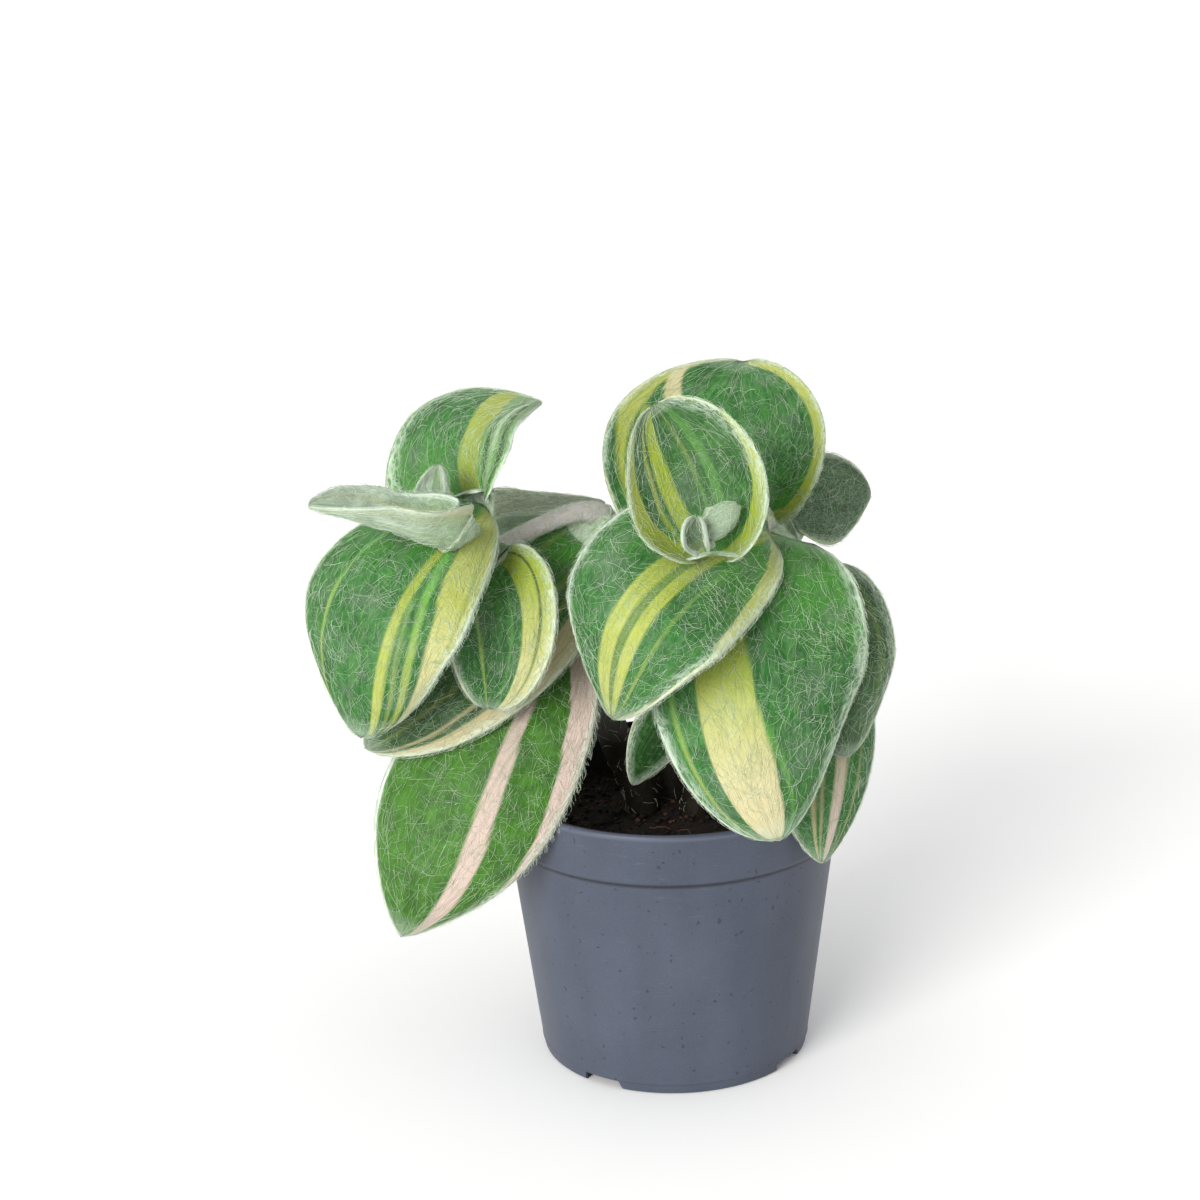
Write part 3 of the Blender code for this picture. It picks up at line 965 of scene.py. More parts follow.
@dataclass
class Ground:
    """A surface that hairs are laid on.

    grid holds its points, row by row from foot to tip, and normals the way out of it. half is
    half its width at each row and thick how far its skin lies from the grid, all in
    millimetres. wraps says that it closes on itself, as a tube does.
    """

    grid: np.ndarray
    normals: np.ndarray
    half: np.ndarray
    thick: np.ndarray
    wraps: bool = False
    length: float = field(init=False)

    def __post_init__(self) -> None:
        """Measures the line up its middle."""
        midrib = self.grid[:, self.grid.shape[1] // 2]
        self.length = float(np.linalg.norm(np.diff(midrib, axis=0), axis=1).sum())

    def half_at(self, v: np.ndarray) -> np.ndarray:
        """Half the width at shares of the length."""
        return np.interp(v, np.linspace(0, 1, len(self.half)), self.half)

    @property
    def area(self) -> float:
        """One side's area, in square millimetres."""
        return float(2 * self.half.mean() * self.length)

    def spread(self, rng: np.random.Generator, count: int) -> np.ndarray:
        """Shares of the length that spread hairs evenly over the area.

        Args:
            rng: The random numbers.
            count: How many.

        Returns:
            The shares.
        """
        shares = np.linspace(0.01, 0.985, 200)
        total = np.cumsum(self.half_at(shares))
        return np.interp(rng.uniform(0, 1, count), total / total[-1], shares)

    def at(self, u: np.ndarray, v: np.ndarray) -> tuple[np.ndarray, np.ndarray, np.ndarray]:
        """Points, normals and thickness of the surface.

        Args:
            u: Places across, which may pass the margins.
            v: Shares of the length.

        Returns:
            The points, the normals and how far the skin is from the points.
        """
        rows, columns = self.grid.shape[0] - 1, self.grid.shape[1] - 1
        held = (u + 1) % 2 - 1 if self.wraps else np.clip(u, -1, 1)
        x = (held + 1) / 2 * columns
        y = np.clip(v, 0, 0.995) * rows
        i = np.minimum(x.astype(int), columns - 1)
        j = np.minimum(y.astype(int), rows - 1)
        s, t = (x - i)[..., None], (y - j)[..., None]

        def mixed(values: np.ndarray) -> np.ndarray:
            """Values between the four nearest points of the grid."""
            low = values[j, i] * (1 - s) + values[j, i + 1] * s
            high = values[j + 1, i] * (1 - s) + values[j + 1, i + 1] * s
            return low * (1 - t) + high * t

        points = mixed(self.grid)
        if not self.wraps:
            sideways = unit(self.grid[j, i + 1] - self.grid[j, i])
            points = points + ((u - held) * self.half_at(v))[..., None] * sideways
        return points, unit(mixed(self.normals)), mixed(self.thick[..., None])[..., 0]

    def walk(
        self, rng: np.random.Generator, u: np.ndarray, v: np.ndarray, heading: np.ndarray,
        reach: np.ndarray, lift: np.ndarray, side: int = 1, fringe: float = 0.0,
    ) -> tuple[np.ndarray, np.ndarray]:
        """Lets hairs run over the surface.

        Args:
            rng: The random numbers.
            u: Where each starts across the surface.
            v: Where each starts along it.
            heading: Which way each starts, in radians from the length.
            reach: Each one's length, in millimetres.
            lift: How high each one arches, in millimetres.
            side: 1 for the upper side, -1 for the lower.
            fringe: How far past the margins they may run, in millimetres.

        Returns:
            The points along each hair and the way out of the surface there.
        """
        bend = rng.normal(0, 0.6, len(u)) / (STATIONS - 1)
        curl = rng.normal(0, 0.17, (len(u), STATIONS))
        step = reach / (STATIONS - 1)
        paths, outs = [], []
        for station in range(STATIONS):
            share = station / (STATIONS - 1)
            points, normals, thick = self.at(u, v)
            height = thick - 0.03 + lift * math.sin(math.pi * (0.12 + 0.8 * share))
            height = np.where(station == 0, thick - 0.08, height)
            paths.append(points + normals * (side * height)[:, None])
            outs.append(normals * side)
            heading = heading + bend + curl[:, station]
            half = np.maximum(self.half_at(v), 0.6)
            u = u + step * np.sin(heading) / half
            if not self.wraps:
                limit = 1 + fringe / half
                u = np.clip(u, -limit, limit)
            v = np.clip(v + step * np.cos(heading) / self.length, 0.005, 0.994)
        return np.stack(paths, axis=1), np.stack(outs, axis=1)


@dataclass(frozen=True)
class Blade:
    """One leaf: its blade, its finish and its wool."""

    name: str
    shape: BladeShape
    finish: BladeFinish
    wool: Wool = Wool()
    slot: str = "variegated_leaf"
    nodes: tuple[str, ...] = ()
    sheath: Colour = MIST_GREEN

    @property
    def seed(self) -> float:
        """A number from 0 to 50 that sets this blade apart."""
        return float(seeded(self.name).uniform(0, 50))

    def mesh(self, material: bpy.types.Material) -> Piece:
        """Builds the blade as a closed shell, thickest along its middle.

        Args:
            material: Its material.

        Returns:
            The piece.
        """
        shape = self.shape
        across = np.sin(np.linspace(-1, 1, CROSS_STEPS + 1) * math.pi / 2) * 0.6
        across += np.linspace(-1, 1, CROSS_STEPS + 1) * 0.4
        along = np.linspace(0, 1, UP_STEPS + 1)
        middle = shape.surface(across, along, self.seed)
        offset = shape.half_thickness(across[None, :], along[:, None])[..., None]
        normals = normals_of(middle)
        skin = Skin()
        rows, columns = UP_STEPS, CROSS_STEPS + 1
        shared = skin.add_points(middle)
        numbers = np.arange((rows + 1) * columns).reshape(rows + 1, columns) + shared
        inside = (slice(1, rows), slice(1, columns - 1))
        skin.points[0] = (middle + offset * normals * self._open(rows, columns)).reshape(-1, 3)
        under = numbers.copy()
        first = skin.add_points((middle - offset * normals)[inside])
        under[inside] = np.arange(under[inside].size).reshape(under[inside].shape) + first
        reach = np.clip(1 - np.abs(across), 0, 1)[None, :] * shape.half_width(along)[:, None]
        low = (across[None, :] + 1) * shape.half_width(along)[:, None] / 10
        high = (1 - across[None, :]) * shape.half_width(along)[:, None] / 10
        share = np.broadcast_to((across + 1) / 2, reach.shape)
        lengthways = np.broadcast_to(along[:, None], reach.shape)
        for grid, upper in ((numbers, True), (under, False)):
            bake_across = share * 0.48 + (0.01 if upper else 0.51)
            self._add_side(
                skin, grid, upper,
                blade=np.stack([share, lengthways], -1),
                rim=np.stack([low, high], -1),
                side=np.stack([np.full(reach.shape, float(upper)), reach / 10], -1),
                OFBake=np.stack([bake_across, lengthways * 0.98 + 0.01], -1),
            )
        return skin.make(self.name, material)

    @staticmethod
    def _open(rows: int, columns: int) -> np.ndarray:
        """1 at the points that only the upper side has, and 0 where both sides meet."""
        mask = np.zeros((rows + 1, columns, 1))
        mask[1:rows, 1 : columns - 1] = 1
        return mask

    def _add_side(self, skin: Skin, grid: np.ndarray, upper: bool, **maps: np.ndarray) -> None:
        """Adds the faces of one side, with a fan of triangles at the tip.

        Args:
            skin: The mesh in the making.
            grid: The number of each point, row by row.
            upper: Whether the faces look up.
            **maps: Two coordinates for each point of the grid, by the map's name.
        """
        rows, columns = grid.shape
        corners = [(0, 0), (0, 1), (1, 1), (1, 0)]
        if not upper:
            corners.reverse()

        def gather(values: np.ndarray, picks: list[tuple[int, int]], top: int) -> np.ndarray:
            """The values at each face's corners, for the rows of faces below top."""
            parts = [values[r : top + r, c : columns - 1 + c] for r, c in picks]
            stacked = np.stack(parts, axis=2)
            return stacked.reshape(-1, len(picks), *values.shape[2:])

        below = rows - 2
        quads = gather(grid, corners, below)
        skin.add_faces(quads, **{k: gather(v, corners, below) for k, v in maps.items()})
        fan = [corner for corner in corners if corner != (1, 1)]
        last = {k: gather(v[below:], fan, 1) for k, v in maps.items()}
        numbers = gather(grid[below:], fan, 1)
        numbers[:, fan.index((1, 0))] = grid[rows - 1, columns // 2]
        skin.add_faces(numbers, **last)

    def ground(self) -> Ground:
        """The surface that its hairs are laid on."""
        across = np.linspace(-1, 1, WALK_CROSS + 1)
        along = np.linspace(0, 1, WALK_UP + 1)
        grid = self.shape.surface(across, along, self.seed)
        thick = self.shape.half_thickness(across[None, :], along[:, None])
        return Ground(grid, normals_of(grid), self.shape.half_width(along), thick)

    def strands(self) -> Strands:
        """Lays the blade's wool over both its sides and along its margins.

        Returns:
            The hairs.
        """
        ground, strands = self.ground(), Strands(self.name + "_wool")
        for side, density in ((1, self.wool.density), (-1, self.wool.under)):
            self._cover_side(strands, ground, side, int(ground.area * density))
        self._cover_margins(strands, ground, int(2 * ground.length * self.wool.rim))
        return strands

    def _cover_side(self, strands: Strands, ground: Ground, side: int, count: int) -> None:
        """Lays hairs on one side.

        Args:
            strands: The hairs to add to.
            ground: The blade's surface.
            side: 1 for the upper side, -1 for the lower.
            count: How many hairs.
        """
        wool, rng = self.wool, strands.rng
        v = ground.spread(rng, count)
        u = rng.uniform(-0.98, 0.98, count)
        heading = rng.normal(0, wool.stray, count)
        turned = rng.choice([0, math.pi], count, p=[1 - wool.backward, wool.backward])
        reach = rng.uniform(*wool.length, count) * rng.uniform(0.5, 1.0, count)
        lift = rng.uniform(0.15, 1.0, count) * wool.lift
        paths, outs = ground.walk(rng, u, v, heading + turned, reach, lift, side)
        tones = np.clip(rng.normal(*wool.tone, count), 0.02, 0.98)
        bold = rng.uniform(size=count) < wool.bold
        for picked, girth in ((bold, wool.bold_girth), (~bold, 1.0)):
            if picked.any():
                strands.add(paths[picked], outs[picked], wool.radius * girth, tones[picked])

    def _cover_margins(self, strands: Strands, ground: Ground, count: int) -> None:
        """Lays hairs along both margins.

        Args:
            strands: The hairs to add to.
            ground: The blade's surface.
            count: How many hairs.
        """
        wool, rng = self.wool, strands.rng
        v = rng.uniform(0.02, 0.985, count)
        edge = rng.choice([-1.0, 1.0], count)
        u = edge * rng.uniform(0.94, 1.0, count)
        heading = edge * np.abs(rng.normal(0.15, 0.35, count))
        reach = rng.uniform(*wool.rim_length, count)
        lift = rng.uniform(-0.3, 0.5, count) * wool.lift
        paths, outs = ground.walk(rng, u, v, heading, reach, lift, 1, wool.fringe)
        tones = np.clip(rng.normal(*wool.rim_tone, count), 0.05, 0.98)
        strands.add(paths, outs, wool.radius, tones)

    def build(self, wool: bpy.types.Material) -> None:
        """Makes the blade and its wool.

        Args:
            wool: The hairs' material.
        """
        piece = self.mesh(self.finish.material(self.name, self.seed))
        settle(piece, self.slot, *self.nodes)
        settle(self.strands().make(self.name + "_wool", wool), self.slot)


# ------------------------------------------------------------------ stems and sheaths
def add_loft(skin: Skin, rings: np.ndarray) -> None:
    """Adds a closed body through rings of points, each end shut by a fan.

    Args:
        skin: The mesh in the making.
        rings: Rings by points by 3, from one end to the other.
    """
    count, sides = rings.shape[:2]
    a, d = rings[:-1] - rings.mean((0, 1)), rings[1:] - rings.mean((0, 1))
    b, c = np.roll(a, -1, axis=1), np.roll(d, -1, axis=1)
    if (a * np.cross(b, c) + a * np.cross(c, d)).sum() < 0:
        rings = rings[:, ::-1]
    grid = np.arange(count * sides).reshape(count, sides) + skin.add_points(rings)
    ends = skin.add_points(np.stack([rings[0].mean(0), rings[-1].mean(0)]))
    after = np.roll(grid, -1, axis=1)
    quads = np.stack([grid[:-1], after[:-1], after[1:], grid[1:]], -1).reshape(-1, 4)
    x = np.broadcast_to(np.arange(sides) / sides, (count - 1, sides))
    y = np.broadcast_to(np.arange(count - 1)[:, None] / (count - 1), (count - 1, sides))
    right, top = x + 1 / sides, y + 1 / (count - 1)
    places = np.stack([np.stack(p, -1) for p in ((x, y), (right, y), (right, top), (x, top))], 2)
    skin.add_faces(quads, blade=places, OFBake=places * 0.96 + 0.02)
    for ring, cap, level in ((grid[0][::-1], ends, 0.0), (grid[-1], ends + 1, 1.0)):
        hub = np.full(sides, cap)
        fans = np.stack([ring, np.roll(ring, -1), hub], -1)
        share = np.arange(sides) / sides
        sunk = np.full(sides, level)
        tuck = np.full(sides, level * 0.98 + 0.01)
        fan = np.stack(
            [np.stack(p, -1) for p in ((share, sunk), (share + 1 / sides, sunk), (share, tuck))], 1
        )
        skin.add_faces(fans, blade=fan, OFBake=fan * 0.96 + 0.02)


def smooth_route(knots: np.ndarray, count: int) -> np.ndarray:
    """A smooth line through knots.

    Args:
        knots: Knots by values, which may hold more than three numbers each.
        count: How many points the line gets.

    Returns:
        The points, evenly spread.
    """
    padded = np.concatenate([2 * knots[:1] - knots[1:2], knots, 2 * knots[-1:] - knots[-2:-1]])
    fine = []
    for index in range(len(knots) - 1):
        a, b, c, d = padded[index : index + 4]
        t = np.linspace(0, 1, 24, endpoint=False)[:, None]
        bend = (2 * a - 5 * b + 4 * c - d) * t**2 + (3 * b - a - 3 * c + d) * t**3
        fine.append((2 * b + (c - a) * t + bend) / 2)
    line = np.concatenate([*fine, knots[-1:]])
    travelled = np.linalg.norm(np.diff(line[:, :3], axis=0), axis=1).cumsum()
    places = np.concatenate([[0], travelled])
    even = np.linspace(0, places[-1], count)
    return np.stack([np.interp(even, places, line[:, axis]) for axis in range(line.shape[1])], -1)


def tube_frames(line: np.ndarray) -> tuple[np.ndarray, np.ndarray]:
    """Two directions square to a line at each of its points, turning as little as they can."""
    ways = unit(np.gradient(line, axis=0))
    first = np.zeros_like(line)
    lead = np.array((0.0, -1.0, 0.2))
    for row, way in enumerate(ways):
        lead = unit(lead - way * (lead @ way))
        first[row] = lead
    return first, np.cross(ways, first)


def tube(line: np.ndarray, radius: Any, angle: np.ndarray) -> np.ndarray:
    """Rings of points round a line.

    Args:
        line: Points along the line.
        radius: The rings' radius, one for all or one for each point of each ring.
        angle: Where round a ring its points lie, in radians.

    Returns:
        Rings by points by 3.
    """
    first, second = tube_frames(line)
    ahead, aside = (radius * np.cos(angle))[..., None], (radius * np.sin(angle))[..., None]
    return line[:, None] + ahead * first[:, None] + aside * second[:, None]


@dataclass(frozen=True)
class Stem:
    """A soft jointed stem: knots of (x, y, z, radius) from in the soil to its end."""

    name: str
    knots: tuple[tuple[float, float, float, float], ...]
    sides: int = 24
    rows: int = 90

    def line(self) -> np.ndarray:
        """Points and radii along the stem."""
        return smooth_route(np.array(self.knots, float), self.rows)

    def rings(self) -> np.ndarray:
        """The stem's skin as rings of points, a little lumpy."""
        line = self.line()
        angle = np.linspace(0, math.tau, self.sides, endpoint=False)
        rows = np.arange(self.rows)[:, None]
        lumps = 1 + 0.03 * np.sin(3 * angle + rows * 0.21) + 0.025 * np.cos(5 * angle - rows * 0.3)
        radius = line[:, 3:4] * lumps
        round_off = np.ones(self.rows)
        round_off[-3:] = (0.93, 0.75, 0.4)
        return tube(line[:, :3], radius * round_off[:, None], angle)


@dataclass(frozen=True)
class Sheath:
    """The woolly sleeve that joins a blade's foot to its stem.

    drop is how far below the blade's foot it clasps the stem and play how loosely, both in
    millimetres. reach is how far up the blade it runs, as a share of the blade's length.
    """

    stem: Stem
    blade: Blade
    drop: float = 3.5
    play: float = 0.3
    reach: float = 0.05
    sides: int = 28
    rows: int = 12

    def outline(self) -> np.ndarray:
        """The outline of the blade's foot, a little thicker than the blade on both sides."""
        across = np.linspace(-0.85, 0.85, self.sides // 2)
        along = np.array([0.0, self.reach, self.reach * 2])
        foot = self.blade.shape.surface(across, along, self.blade.seed)
        out = normals_of(foot)[1]
        return np.concatenate([foot[1] - out * 0.6, (foot[1] - out * 0.05)[::-1]])

    def rings(self) -> np.ndarray:
        """Rings from the stem's round to the outline of the blade's foot."""
        line, outline = self.stem.line(), self.outline()
        base = np.array(self.blade.shape.base)
        top = int(np.linalg.norm(line[:, :3] - base, axis=1).argmin())
        step = np.linalg.norm(line[1, :3] - line[0, :3])
        bottom = max(2, top - int(self.drop / step))
        first, second = tube_frames(line[:, :3])
        middle = outline.mean(0)
        way = unit(np.gradient(line[:, :3], axis=0))[top]
        lead = outline[0] - middle
        lead = unit(lead - way * (lead @ way))
        turn = np.cross(outline[self.sides // 4] - middle, outline[0] - middle) @ way
        sense = -1.0 if turn > 0 else 1.0
        start = math.atan2(lead @ second[top], lead @ first[top])
        angle = start + sense * np.linspace(0, math.tau, self.sides, endpoint=False)
        rings = []
        for row in range(self.rows):
            share = row / (self.rows - 1)
            at = bottom + (min(top, len(line) - 4) - bottom) * min(1.0, share * 1.3)
            low = int(at)
            spine, radius = line[low, :3], line[low, 3] + self.play
            circle = spine + radius * (
                np.cos(angle)[:, None] * first[low] + np.sin(angle)[:, None] * second[low]
            )
            blend = share * share * (3 - 2 * share)
            rings.append(circle * (1 - blend) + outline * blend)
        return np.stack(rings)


def tube_ground(rings: np.ndarray) -> Ground:
    """The surface of a loft, for laying hairs on."""
    closed = np.concatenate([rings, rings[:, :1]], axis=1)
    centres = rings.mean(axis=1, keepdims=True)
    normals = normals_of(closed)
    inward = ((closed - centres) * normals).sum(-1).mean() < 0
    normals = -normals if inward else normals
    half = np.linalg.norm(np.diff(closed, axis=1), axis=2).sum(1) / 2
    return Ground(closed, normals, half, np.zeros(closed.shape[:2]), wraps=True)


@dataclass(frozen=True)
class Fur:
    """The close wool of stems and sheaths, with lengths in millimetres.

    density is hairs to a square millimetre, length their shortest and longest, stray how far
    they turn from the stem's length (in radians), lift how high they arch and tone how pale
    they are and how far that varies. Old stems are bare up to bare_to, where the wool starts
    to close over a height of bare_fade, save for a share of it, bare_left.
    """

    density: float = 2.4
    length: tuple[float, float] = (1.0, 3.0)
    stray: float = 0.7
    lift: float = 0.4
    radius: float = 0.03
    tone: tuple[float, float] = (0.75, 0.2)
    bare_to: float = 66.0
    bare_fade: float = 20.0
    bare_left: float = 0.08

    def lay(self, strands: Strands, ground: Ground) -> None:
        """Lays the wool on a surface.

        Args:
            strands: The hairs to add to.
            ground: The surface.
        """
        rng = strands.rng
        count = int(ground.area * self.density)
        v = ground.spread(rng, count)
        u = rng.uniform(-1, 1, count)
        heading = rng.normal(0, self.stray, count)
        reach = rng.uniform(*self.length, count)
        lifts = rng.uniform(0.2, 1.0, count) * self.lift
        paths, outs = ground.walk(rng, u, v, heading, reach, lifts)
        share = (paths[:, 0, 2] - self.bare_to) / self.bare_fade
        kept = rng.uniform(size=count) < np.clip(share, self.bare_left, 1.0)
        tones = np.clip(rng.normal(*self.tone, count), 0.02, 0.98)
        strands.add(paths[kept], outs[kept], self.radius, tones[kept])


# ------------------------------------------------------------------ pot
@dataclass(frozen=True)
class PotFinish:
    """Semi-matt moulded plastic with flow marks, dust specks and fine scuffs, with painted shade
    under the rim band and inside, and a painted highlight along the lip.
    """

    body: Colour = paint(67, 73, 86)
    # Also the colour of the painted highlight along the lip.
    worn: Colour = paint(90, 96, 110)
    deep: Colour = paint(50, 54, 64)
    # Colour of the painted shade under the rim band's ledge and on the inside of the wall.
    painted_shade: Colour = paint(20, 18, 18)

    def material(self, ledge: float, lip: float, inner: float, taper: float) -> bpy.types.Material:
        """Builds the material.

        Args:
            ledge: The height of the rim band's lower edge, in metres.
            lip: The pot's height, in metres.
            inner: How far from the middle the wall's inside starts at no height, in metres.
            taper: How much farther out it is for each metre of height.

        Returns:
            The material.
        """
        board = Board("moulded_plastic", Specular_IOR_Level=0.2)
        where = board.place()
        parts = board.node("ShaderNodeSeparateXYZ", inputs={0: where})
        x, y, z = (Wire(board, output) for output in parts.outputs)
        cloud = board.noise(where, 60.0, 3.0)
        flow = board.noise(board.vector(x * 160, y * 160, z * 22), 1.0, 2.0)
        grain = board.noise(where, 2600.0, 2.0)
        specks = board.noise(where, 1100.0, 0.0).above(0.79, 0.02)
        scuffs = board.noise(board.vector(x * 300, y * 300, z * 2200), 1.0, 1.0).above(0.72, 0.05)
        colour = board.blend((cloud * 2.2 - 0.75).held() * 0.35, self.body, self.worn)
        colour = board.blend((flow * 2 - 0.7).held() * 0.3, colour, self.deep)
        colour = board.blend((grain - 0.45).held() * 0.6, colour, self.worn)
        colour = board.blend(specks * 0.7, colour, self.deep)
        colour = board.blend(scuffs * 0.25, colour, self.worn)
        # Painted shade: a dark line just under the rim band's ledge.
        ledge_shadow = (1 - abs(z - ledge + 0.00035) / 0.0006).held() * 0.75
        colour = board.blend(ledge_shadow, colour, self.painted_shade)
        # Painted highlight: a light line just under the top of the lip.
        colour = board.blend((1 - abs(z - lip + 0.0007) / 0.0005).held() * 0.6, colour, self.worn)
        # Painted shade: the inside of the wall, darkened almost to black.
        inside = (z * taper + inner - (x * x + y * y) ** 0.5) / 0.0002
        colour = board.blend(inside.held() * 0.92, colour, self.painted_shade)
        rough = (cloud * 0.16 + flow * 0.1 + grain * 0.1 + 0.24 + scuffs * 0.1).held()
        relief = grain * 0.5 + flow * 0.3 + specks * 0.6
        return board.finish(
            Base_Color=colour, Roughness=rough, Normal=board.bump(relief, 0.00004)
        )


@dataclass(frozen=True)
class Pot:
    """The nursery pot: tapered wall, rim band, rolled lip, foot ring and drain holes."""

    band_height: float = 9.0
    band_step: float = 0.5
    wall: float = 1.1
    foot_radius: float = 23.6
    foot_width: float = 2.0
    floor_under: float = 2.6
    floor_top: float = 4.0
    pad_radius: float = 5.0
    drain_holes: int = 6
    drain_radius: float = 1.8
    drain_circle: float = 13.0
    notches: int = 4
    notch_width: float = 8.9
    notch_height: float = 1.6
    notch_angle: float = -121.0
    sides: int = 144
    finish: PotFinish = PotFinish()

    @property
    def rim_radius(self) -> float:
        """Half the pot's width, from its CAD node."""
        low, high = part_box("pot")
        return (high.x - low.x) / 2 / MM

    @property
    def height(self) -> float:
        """The pot's height, from its CAD node."""
        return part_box("pot")[1].z / MM

    def outside(self, level: float) -> float:
        """Radius of the tapered wall at a height, in millimetres."""
        low, high = 3.0, self.height - self.band_height
        top = self.rim_radius - 2 * self.band_step - 0.1
        share = (level - low) / (high - low)
        return self.foot_radius + 0.4 + share * (top - self.foot_radius - 0.4)

    def profile(self) -> list[tuple[float, float]]:
        """The turned outline, from the middle of the underside to the middle of the floor."""
        band = self.height - self.band_height
        ledge, rim, top = self.outside(band), self.rim_radius, self.height
        inner_top = rim - self.wall - 0.35
        inner_low = self.outside(self.floor_top + 2) - self.wall
        ring = self.foot_radius - self.foot_width
        foot = self.foot_radius
        return [
            (0.0, 0.3), (self.pad_radius - 0.3, 0.3), (self.pad_radius, 0.6),
            (self.pad_radius, self.floor_under), (ring, self.floor_under), (ring, 0.4),
            (ring + 0.3, 0.05), (ring + 0.6, 0.0), (foot - 0.7, 0.0), (foot - 0.35, 0.08),
            (foot - 0.1, 0.3), (foot, 0.6), (foot + 0.02, 1.5), (foot + 0.12, 1.8),
            (foot + 0.34, 2.0), (self.outside(2.4), 2.4), (self.outside(3.4), 3.4),
            (self.outside(12), 12), (self.outside(22), 22), (self.outside(32), 32),
            (ledge - 0.03, band - 0.6), (ledge + 0.06, band - 0.25),
            (ledge + 0.3, band - 0.02), (ledge + self.band_step, band + 0.25),
            (ledge + self.band_step + 0.08, band + 0.7),
            (rim - 0.25, top - 1.6), (rim - 0.1, top - 1.2), (rim, top - 0.8),
            (rim - 0.03, top - 0.45), (rim - 0.2, top - 0.15), (rim - 0.45, top - 0.02),
            (rim - 0.7, top), (rim - 1.0, top - 0.06), (inner_top + 0.15, top - 0.25),
            (inner_top, top - 0.7), (inner_top - 0.1, top - 3), (inner_top - 0.5, band + 0.5),
            (self.outside(band) - self.wall, band - 0.6), (inner_low, self.floor_top + 2),
            (inner_low - 0.7, self.floor_top + 0.7), (inner_low - 2.0, self.floor_top),
            (0.0, self.floor_top),
        ]

    def turned(self) -> bpy.types.Mesh:
        """Spins the outline."""
        bm = bmesh.new()
        points = [bm.verts.new((radius, 0.0, level)) for radius, level in self.profile()]
        edges = [bm.edges.new(pair) for pair in zip(points, points[1:])]
        bmesh.ops.spin(
            bm, geom=edges + points, cent=(0, 0, 0), axis=(0, 0, 1), angle=math.tau,
            steps=self.sides, use_merge=True,
        )
        bmesh.ops.remove_doubles(bm, verts=bm.verts, dist=0.004)
        return written(bm, "pot_body")

    def cutter(self) -> Piece:
        """The drain holes and the foot's notches, as one shape to take away."""
        bm = bmesh.new()
        for index in range(self.drain_holes):
            angle = math.tau * index / self.drain_holes
            spot = Vector((math.cos(angle), math.sin(angle), 0)) * self.drain_circle
            bmesh.ops.create_cone(
                bm, cap_ends=True, segments=32, radius1=self.drain_radius,
                radius2=self.drain_radius, depth=8,
                matrix=Matrix.Translation(spot + Vector((0, 0, self.floor_top))),
            )
        for index in range(self.notches):
            angle = math.radians(self.notch_angle) + math.tau * index / self.notches
            spot = Vector((math.cos(angle), math.sin(angle), 0))
            spot *= self.foot_radius - self.foot_width / 2
            size = Matrix.Diagonal((self.foot_width + 3, self.notch_width, 1, 1))
            turn = Matrix.Rotation(angle, 4, "Z")
            notch = bmesh.ops.create_cube(
                bm, size=1.0, matrix=Matrix.Translation(spot) @ turn @ size
            )
            for vert in notch["verts"]:
                across = (turn.inverted() @ (vert.co - spot)).y
                slope = 0.55 if across > 0 else 0.98
                if vert.co.z > 0:
                    vert.co = spot + turn @ Vector(
                        ((turn.inverted() @ (vert.co - spot)).x, across * slope, 0)
                    )
                    vert.co.z = self.notch_height
                else:
                    vert.co.z = -2.0
        return link("pot_cutter", written(bm, "pot_cutter"))

    def build(self) -> None:
        """Makes the pot and dresses it."""
        raw, cutter = link("pot_raw", self.turned()), self.cutter()
        cut = raw.modifiers.new("drain", "BOOLEAN")
        cut.operation, cut.solver, cut.object = "DIFFERENCE", "EXACT", cutter
        graph = bpy.context.evaluated_depsgraph_get()
        mesh = bpy.data.meshes.new_from_object(raw.evaluated_get(graph))
        for helper in (raw, cutter):
            bpy.data.objects.remove(helper)
        mesh.materials.clear()
        mesh.shade_smooth()
        mesh.set_sharp_from_angle(angle=math.radians(38))
        taper = (self.outside(50.0) - self.outside(10.0)) / 40.0
        inner = (self.outside(0.0) - self.wall / 2) * MM
        ledge = (self.height - self.band_height) * MM
        material = self.finish.material(ledge, self.height * MM, inner, taper)
        settle(link("nursery_pot", mesh, material), "pot_plastic", "pot")


def written(bm: bmesh.types.BMesh, name: str) -> bpy.types.Mesh:
    """Writes a bmesh held in millimetres to a mesh in metres.

    Args:
        bm: The bmesh, which is freed.
        name: The mesh's name.

    Returns:
        The mesh.
    """
    bmesh.ops.scale(bm, vec=(MM, MM, MM), verts=bm.verts)
    bmesh.ops.recalc_face_normals(bm, faces=bm.faces)
    mesh = bpy.data.meshes.new(name)
    bm.to_mesh(mesh)
    bm.free()
    return mesh


# ------------------------------------------------------------------ soil
@dataclass(frozen=True)
class SoilFinish:
    """Damp peat: near-black crumbs with reddish and lighter ones among them."""

    dark: Colour = paint(14, 9, 7)
    middle: Colour = paint(34, 20, 15)
    light: Colour = paint(84, 56, 44)

    def material(self, name: str, lift: float = 0.0) -> bpy.types.Material:
        """Builds the material.

        Args:
            name: The material's name.
            lift: How much lighter than plain peat it is, from 0 to 1.

        Returns:
            The material.
        """
        board = Board(name, Specular_IOR_Level=0.3)
        where = board.place()
        crumb = board.noise(where, 520.0, 4.0)
        patch = board.noise(where, 150.0, 2.0)
        place = (crumb * 0.8 + patch * 0.5 - 0.25 + lift).held()
        stops = ((0.25, self.dark), (0.6, self.middle), (0.9, self.light))
        ramp = board.node("ShaderNodeValToRGB", {"stops": stops}, {0: place})
        return board.finish(
            Base_Color=ramp.outputs[0],
            Roughness=(crumb * 0.3 + 0.62).held(),
            Normal=board.bump(crumb, 0.0006),
        )


class Grit(Enum):
    """The kinds of lump that lie on the soil: share of them, size in mm and paleness."""

    CRUMB = (0.86, (0.5, 1.5), 0.0)
    CHIP = (0.11, (0.6, 1.3), 0.45)
    GRAIN = (0.03, (0.4, 0.8), 0.9)


